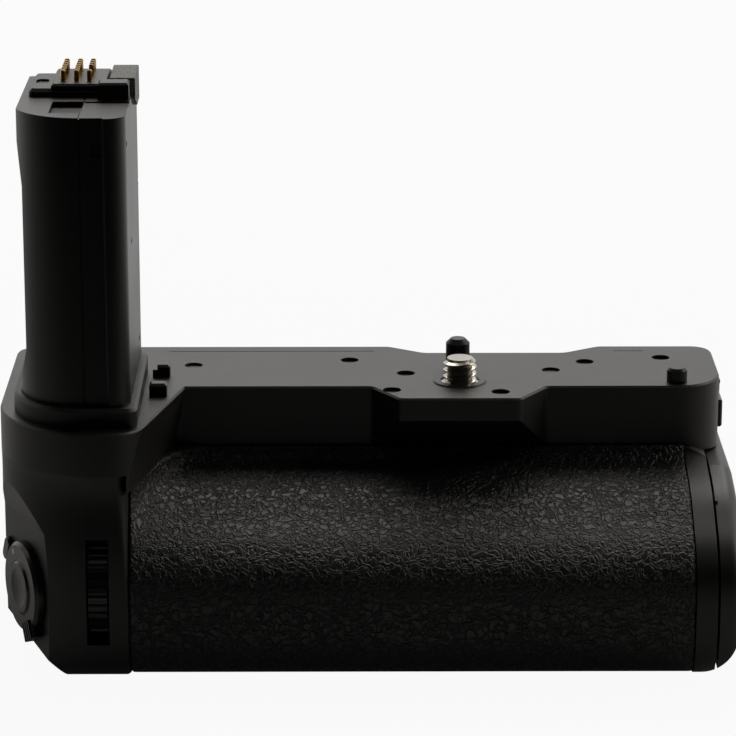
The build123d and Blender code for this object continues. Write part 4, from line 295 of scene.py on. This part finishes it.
def leather_crease_group():
    """A node group with the wrinkles, the creased cells and the pores of a leather grain, and a painted shade
    factor that is lowest in the creases.
    """
    group = bpy.data.node_groups.new("leather_crease", "ShaderNodeTree")
    for name, value in (("Cell Scale", 620.0), ("Warp", 1.0)):
        socket = group.interface.new_socket(name, in_out="INPUT", socket_type="NodeSocketFloat")
        socket.default_value = value
    for name in ("Height", "Roughness", "Crease Shade"):
        group.interface.new_socket(name, in_out="OUTPUT", socket_type="NodeSocketFloat")
    link = group.links.new
    given = group.nodes.new("NodeGroupInput")
    out = group.nodes.new("NodeGroupOutput")
    place = group.nodes.new("ShaderNodeTexCoord")
    sway = group.nodes.new("ShaderNodeTexNoise")
    sway.inputs["Scale"].default_value = 420.0
    sway.inputs["Detail"].default_value = 2.0
    centred = group.nodes.new("ShaderNodeVectorMath")
    centred.operation = "SUBTRACT"
    centred.inputs[1].default_value = (noise_middle, noise_middle, noise_middle)
    pushed = group.nodes.new("ShaderNodeVectorMath")
    pushed.operation = "SCALE"
    warp_size = group.nodes.new("ShaderNodeMath")
    warp_size.operation = "MULTIPLY"
    warp_size.inputs[1].default_value = sway_reach * mm
    moved = group.nodes.new("ShaderNodeVectorMath")
    moved.operation = "ADD"
    cells = group.nodes.new("ShaderNodeTexVoronoi")
    cells.feature = "DISTANCE_TO_EDGE"
    worm = group.nodes.new("ShaderNodeTexNoise")
    worm.inputs["Detail"].default_value = 1.5
    worm_scale = group.nodes.new("ShaderNodeMath")
    worm_scale.operation = "MULTIPLY"
    worm_scale.inputs[1].default_value = worm_share
    worm_level = group.nodes.new("ShaderNodeMath")
    worm_level.operation = "SUBTRACT"
    worm_level.inputs[1].default_value = noise_middle
    worm_ridge = group.nodes.new("ShaderNodeMath")
    worm_ridge.operation = "ABSOLUTE"
    crease = group.nodes.new("ShaderNodeMapRange")
    crease.interpolation_type = "SMOOTHSTEP"
    crease.inputs["From Min"].default_value = 0.0
    crease.inputs["From Max"].default_value = 0.14
    crease.inputs["To Min"].default_value = 0.45
    wrinkle = group.nodes.new("ShaderNodeMapRange")
    wrinkle.interpolation_type = "SMOOTHSTEP"
    wrinkle.inputs["From Min"].default_value = 0.0
    wrinkle.inputs["From Max"].default_value = 0.075
    lowest = group.nodes.new("ShaderNodeMath")
    lowest.operation = "MINIMUM"
    pores = group.nodes.new("ShaderNodeTexNoise")
    pores.inputs["Scale"].default_value = 5200.0
    pores.inputs["Detail"].default_value = 2.0
    pore_depth = group.nodes.new("ShaderNodeMath")
    pore_depth.operation = "MULTIPLY"
    pore_depth.inputs[1].default_value = pore_share
    relief = group.nodes.new("ShaderNodeMath")
    relief.operation = "ADD"
    rough = group.nodes.new("ShaderNodeMapRange")
    rough.inputs["To Min"].default_value = 0.6
    rough.inputs["To Max"].default_value = 0.38
    link(place.outputs["Object"], sway.inputs["Vector"])
    link(sway.outputs["Color"], centred.inputs[0])
    link(given.outputs["Warp"], warp_size.inputs[0])
    link(centred.outputs["Vector"], pushed.inputs[0])
    link(warp_size.outputs[0], pushed.inputs["Scale"])
    link(place.outputs["Object"], moved.inputs[0])
    link(pushed.outputs["Vector"], moved.inputs[1])
    link(moved.outputs["Vector"], cells.inputs["Vector"])
    link(moved.outputs["Vector"], worm.inputs["Vector"])
    link(given.outputs["Cell Scale"], cells.inputs["Scale"])
    link(given.outputs["Cell Scale"], worm_scale.inputs[0])
    link(worm_scale.outputs[0], worm.inputs["Scale"])
    link(worm.outputs["Fac"], worm_level.inputs[0])
    link(worm_level.outputs[0], worm_ridge.inputs[0])
    link(worm_ridge.outputs[0], wrinkle.inputs["Value"])
    link(cells.outputs["Distance"], crease.inputs["Value"])
    link(crease.outputs["Result"], lowest.inputs[0])
    link(wrinkle.outputs["Result"], lowest.inputs[1])
    link(place.outputs["Object"], pores.inputs["Vector"])
    link(pores.outputs["Fac"], pore_depth.inputs[0])
    link(lowest.outputs[0], relief.inputs[0])
    link(pore_depth.outputs[0], relief.inputs[1])
    link(lowest.outputs[0], rough.inputs["Value"])
    link(relief.outputs[0], out.inputs["Height"])
    link(rough.outputs["Result"], out.inputs["Roughness"])
    # Crease Shade: painted shade, a factor that darkens the colour in the cell creases and wrinkles.
    link(lowest.outputs[0], out.inputs["Crease Shade"])
    return group


leather_crease = leather_crease_group()


def leather_rubber(name, cell_scale, depth, dark, light):
    """A rubber material with the leather grain group, its colour running from the light tone down to the dark
    tone in the creases as painted shade.
    """
    material = bpy.data.materials.new(name)
    material.use_nodes = True
    nodes_in = material.node_tree.nodes
    link = material.node_tree.links.new
    shader = nodes_in["Principled BSDF"]
    grain = nodes_in.new("ShaderNodeGroup")
    grain.node_tree = leather_crease
    grain.inputs["Cell Scale"].default_value = cell_scale
    tone = nodes_in.new("ShaderNodeMix")
    tone.data_type = "RGBA"
    tone.inputs["A"].default_value = (*dark, 1)
    tone.inputs["B"].default_value = (*light, 1)
    bump = nodes_in.new("ShaderNodeBump")
    bump.inputs["Strength"].default_value = 0.85
    bump.inputs["Distance"].default_value = depth * mm
    # Painted shade: the creases and wrinkles take the dark tone, the ridges the light one.
    link(grain.outputs["Crease Shade"], tone.inputs["Factor"])
    link(tone.outputs["Result"], shader.inputs["Base Color"])
    link(grain.outputs["Roughness"], shader.inputs["Roughness"])
    link(grain.outputs["Height"], bump.inputs["Height"])
    link(bump.outputs["Normal"], shader.inputs["Normal"])
    return material


def skin_from(name, node, voxel, passes, material):
    """A piece with the form of a CAD node, its faces evened out and its edges rounded."""
    bm = bmesh.new()
    bm.from_mesh(nodes[node].data)
    bmesh.ops.remove_doubles(bm, verts=bm.verts, dist=weld * mm)
    mesh = bpy.data.meshes.new(name)
    bm.to_mesh(mesh)
    bm.free()
    piece = bpy.data.objects.new(name, mesh)
    bpy.context.scene.collection.objects.link(piece)
    even = piece.modifiers.new("even_skin", "REMESH")
    even.mode = "VOXEL"
    even.voxel_size = voxel * mm
    evened = bpy.data.meshes.new_from_object(piece.evaluated_get(bpy.context.evaluated_depsgraph_get()))
    piece.modifiers.clear()
    piece.data = evened
    bpy.data.meshes.remove(mesh)
    bm = bmesh.new()
    bm.from_mesh(evened)
    for turn in range(passes):
        bmesh.ops.smooth_vert(bm, verts=bm.verts, factor=0.5, use_axis_x=True, use_axis_y=True,
                              use_axis_z=True)
    bm.to_mesh(evened)
    bm.free()
    evened.materials.clear()
    evened.materials.append(material)
    for polygon in evened.polygons:
        polygon.use_smooth = True
    return piece


# Grip rubber: the dark tone is painted shade in the creases, the light tone is the rubber's own.
grip_rubber = leather_rubber("grip_rubber", cell_scale=620.0, depth=0.24, dark=(0.003, 0.003, 0.003),
                             light=(0.0115, 0.0112, 0.0108))
grip_leather = skin_from("grip_leather", "rubber_grip", voxel=0.5, passes=3, material=grip_rubber)
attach(grip_leather, "grip")
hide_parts("rubber_grip")

# Thumb pad: the same rubber in a rounded island, glued to the rear cover where
# the thumb rests, with a slightly finer grain.
# Pad rubber: the dark tone is painted shade in the creases, the light tone is the rubber's own.
pad_rubber = leather_rubber("pad_rubber", cell_scale=760.0, depth=0.12, dark=(0.006, 0.006, 0.006),
                            light=(0.012, 0.0118, 0.0114))
thumb_leather = skin_from("thumb_leather", "thumb_pad", voxel=0.4, passes=2, material=pad_rubber)
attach(thumb_leather, "grip")
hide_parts("thumb_pad")

# Stalk: two half shells of a smoother black plastic that join down the front,
# a head block pushed into them, and a collar that covers their foot.
stalk_plastic = moulded("stalk_plastic", (0.0065, 0.0062, 0.0059), (0.0105, 0.010, 0.0095),
                        grain_scale=7600.0, depth=0.018, smooth=0.34, dull=0.46)
dress(stalk_plastic, "stalk_left_shell", "stalk_right_shell", "stalk_head", "contact_plate")
dress(shell_plastic, "stalk_collar")
dress(black_metal, "stalk_screws")

# Head insert: a pale grey moulding with a fine knurl, clipped over the right
# edge of the head beside the contact plate.
knurl_pitch = 0.45
knurl_depth = 0.2
knurl_plastic = moulded("knurl_plastic", (0.13, 0.134, 0.13), (0.22, 0.224, 0.22),
                        grain_scale=2600.0, depth=0.08, smooth=0.5, dull=0.7)
knurl_nodes = knurl_plastic.node_tree
knurl_place = knurl_nodes.nodes.new("ShaderNodeTexCoord")
knurl_cells = knurl_nodes.nodes.new("ShaderNodeTexVoronoi")
knurl_cells.feature = "F1"
knurl_cells.inputs["Scale"].default_value = 1000.0 / knurl_pitch
knurl_cells.inputs["Randomness"].default_value = 0.35
knurl_bump = knurl_nodes.nodes.new("ShaderNodeBump")
knurl_bump.invert = True
knurl_bump.inputs["Strength"].default_value = 1.0
knurl_bump.inputs["Distance"].default_value = knurl_depth * mm
knurl_nodes.links.new(knurl_place.outputs["Object"], knurl_cells.inputs["Vector"])
knurl_nodes.links.new(knurl_cells.outputs["Distance"], knurl_bump.inputs["Height"])
grain_bump = next(n for n in knurl_nodes.nodes if n.type == "BUMP" and n != knurl_bump)
knurl_nodes.links.new(knurl_bump.outputs["Normal"], grain_bump.inputs["Normal"])
dress(knurl_plastic, "head_insert")

# Sprung pins: gold-plated plungers that slide in gold-plated barrels, pressed
# into the contact plate.
gold_plate = moulded("gold_plate", (0.42, 0.25, 0.07), (0.70, 0.46, 0.16),
                     grain_scale=2400.0, depth=0.004, smooth=0.18, dull=0.36, metallic=1.0)
dress(gold_plate, "contact_pins", "pin_barrels")

# Camera screw: turned and threaded from bright nickel-plated steel, captive in
# a black ring and driven by the gear below the deck.
screw_axis = Vector((17.4, 4.2, 0)) * mm
thread_foot = 49.0
thread_top = 53.3
thread_crest = 3.17
thread_root = 2.45
thread_pitch = 1.27
thread_flat = 0.16
thread_steps = 48
thread_lap = 0.15
thread_lead = 1.5
spare_turns = 3
point_length = 0.75
thread_weld = 0.004
cut_reach = 0.01
thread_profile = (
    (0.0, thread_root),
    (thread_flat, thread_root),
    (0.5 * thread_pitch - thread_flat / 2, thread_crest),
    (0.5 * thread_pitch + thread_flat / 2, thread_crest),
    (thread_pitch - thread_flat, thread_root),
)
screw_nickel = moulded("screw_nickel", (0.42, 0.39, 0.34), (0.62, 0.58, 0.50),
                       grain_scale=2600.0, depth=0.006, smooth=0.14, dull=0.30, metallic=1.0)

bm = bmesh.new()
bm.from_mesh(nodes["camera_screw"].data)
bmesh.ops.remove_doubles(bm, verts=bm.verts, dist=weld * mm)
bmesh.ops.bisect_plane(bm, geom=bm.verts[:] + bm.edges[:] + bm.faces[:], dist=0.0,
                       plane_co=(0, 0, (thread_foot - thread_lap) * mm), plane_no=(0, 0, 1), clear_outer=True)
bmesh.ops.holes_fill(bm, edges=[e for e in bm.edges if e.is_boundary], sides=0)
shank_mesh = bpy.data.meshes.new("camera_screw_shank")
bm.to_mesh(shank_mesh)
bm.free()

bm = bmesh.new()
turns = int((thread_top - thread_foot) / thread_pitch) + spare_turns
ridge = []
for turn in range(turns):
    foot = thread_foot - thread_lead * thread_pitch + turn * thread_pitch
    for rise, radius in thread_profile:
        ridge.append(bm.verts.new((radius * mm, 0, (foot + rise) * mm)))
ridge_edges = [bm.edges.new((below, above)) for below, above in zip(ridge, ridge[1:])]
bmesh.ops.spin(bm, geom=ridge + ridge_edges, cent=(0, 0, 0), axis=(0, 0, 1), angle=2 * pi,
               dvec=(0, 0, thread_pitch * mm / thread_steps), steps=thread_steps, use_merge=False)
bmesh.ops.remove_doubles(bm, verts=bm.verts, dist=thread_weld * mm)
for level, side in ((thread_foot - thread_lap, -1), (thread_top, 1)):
    bmesh.ops.bisect_plane(bm, geom=bm.verts[:] + bm.edges[:] + bm.faces[:], dist=0.0,
                           plane_co=(0, 0, level * mm), plane_no=(0, 0, side), clear_outer=True)
    rim = [e for e in bm.edges if e.is_boundary
           and all(abs(v.co.z - level * mm) < cut_reach * mm for v in e.verts)]
    bmesh.ops.holes_fill(bm, edges=rim, sides=0)
for vert in bm.verts:
    reach = vert.co.xy.length
    limit = thread_crest * mm - max(vert.co.z - (thread_top - point_length) * mm, 0)
    if reach > limit:
        vert.co.xy = vert.co.xy * (limit / reach)
bmesh.ops.recalc_face_normals(bm, faces=bm.faces)
bmesh.ops.translate(bm, verts=bm.verts, vec=screw_axis)
bm.from_mesh(shank_mesh)
thread_mesh = bpy.data.meshes.new("camera_screw_thread")
bm.to_mesh(thread_mesh)
bm.free()
thread_mesh.materials.clear()
thread_mesh.materials.append(screw_nickel)
camera_screw_thread = bpy.data.objects.new("camera_screw_thread", thread_mesh)
bpy.context.scene.collection.objects.link(camera_screw_thread)
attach(camera_screw_thread, "screw")
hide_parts("camera_screw")
dress(black_metal, "screw_ring")

# Attachment wheel: toothed, cut from brass bar and blackened, on a steel axle
# between the deck and a sheet steel bracket.
wheel_brass = moulded("wheel_brass", (0.02, 0.019, 0.018), (0.06, 0.054, 0.045),
                      grain_scale=1500.0, depth=0.03, smooth=0.3, dull=0.5, metallic=0.8)
dress(wheel_brass, "attachment_wheel")
dress(machined_steel, "wheel_axle", "gear_bracket")

# Locating pins and hook lugs: blackened steel pins pressed into the deck, and
# two small plastic lugs beside the collar.
dress(black_metal, "locating_pin_large", "locating_pin_small")
dress(stalk_plastic, "hook_lugs")

# Shutter button and its lock ring: satin plastic turned by a ribbed lever, with
# a dot of white paint, over a coil spring and a switch on its own board.
satin_plastic = moulded("satin_plastic", (0.006, 0.0058, 0.0056), (0.010, 0.0097, 0.0094),
                        grain_scale=8200.0, depth=0.008, smooth=0.26, dull=0.38)
dress(satin_plastic, "shutter_button", "function_button", "shutter_ring")
index_paint = moulded("index_paint", (0.7, 0.7, 0.68), (0.82, 0.82, 0.8),
                      grain_scale=4000.0, depth=0.01, smooth=0.35, dull=0.5)
dress(index_paint, "ring_index")
inner_plastic = moulded("inner_plastic", (0.02, 0.02, 0.021), (0.032, 0.032, 0.033),
                        grain_scale=4200.0, depth=0.03, smooth=0.4, dull=0.55)
dress(inner_plastic, "shutter_switch")
dress(machined_steel, "shutter_spring")

# Dials: ribbed wheels of satin plastic, one in front and one behind, pressed on
# steel shafts that end in encoder blocks.
dress(satin_plastic, "front_dial", "rear_dial")
dress(machined_steel, "front_dial_shaft", "rear_dial_shaft")
dress(inner_plastic, "dial_encoders")

# Rear buttons and thumb stick: satin caps on the rear board, the stick carried
# by two small steel gimbal rings.
dress(satin_plastic, "upper_button", "lower_button", "stick_cap")
dress(machined_steel, "stick_gimbal", "stick_cradle")
dress(inner_plastic, "stick_base")

# Battery magazine: a plain tray with two shrink-wrapped packs, closed by the
# end cap with its turn key, tongue and spring catch.
dress(inner_plastic, "magazine_tray")
pack_case = moulded("pack_case", (0.028, 0.029, 0.032), (0.045, 0.046, 0.05),
                    grain_scale=2800.0, depth=0.02, smooth=0.22, dull=0.36)
dress(pack_case, "battery_packs")
cap_plastic = moulded("cap_plastic", (0.009, 0.0088, 0.0085), (0.014, 0.0136, 0.013),
                      grain_scale=6000.0, depth=0.03, smooth=0.38, dull=0.5)
dress(cap_plastic, "end_cap")
dress(satin_plastic, "latch_key")
dress(machined_steel, "catch_spring")
dress(gold_plate, "tray_contacts", "bay_contacts")

# Seal of the end cap: a thin ring of soft black rubber on the cap's inner side,
# which closes the bay when the magazine is in.
seal_rubber = moulded("seal_rubber", (0.012, 0.012, 0.012), (0.02, 0.02, 0.019),
                      grain_scale=3000.0, depth=0.03, smooth=0.5, dull=0.65)
cap_seal = skin_from("cap_seal", "end_gasket", voxel=0.16, passes=2, material=seal_rubber)
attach(cap_seal, "magazine")
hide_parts("end_gasket")

# Port and its cover: a steel receptacle on the board, behind a hinged flap of
# satin plastic on a steel pin.
dress(machined_steel, "usb_port", "cover_hinge_pin")
dress(satin_plastic, "usb_cover")

# Circuit boards: glass fibre under green solder mask of a slightly cloudy tone,
# and an amber flex film that runs up the stalk.
board_mask = moulded("board_mask", (0.008, 0.075, 0.035), (0.02, 0.14, 0.07),
                     grain_scale=900.0, depth=0.02, smooth=0.25, dull=0.4)
dress(board_mask, "main_board", "rear_board", "stalk_board")
flex_film = moulded("flex_film", (0.30, 0.13, 0.02), (0.42, 0.2, 0.04),
                    grain_scale=1600.0, depth=0.01, smooth=0.3, dull=0.45)
dress(flex_film, "stalk_flex")
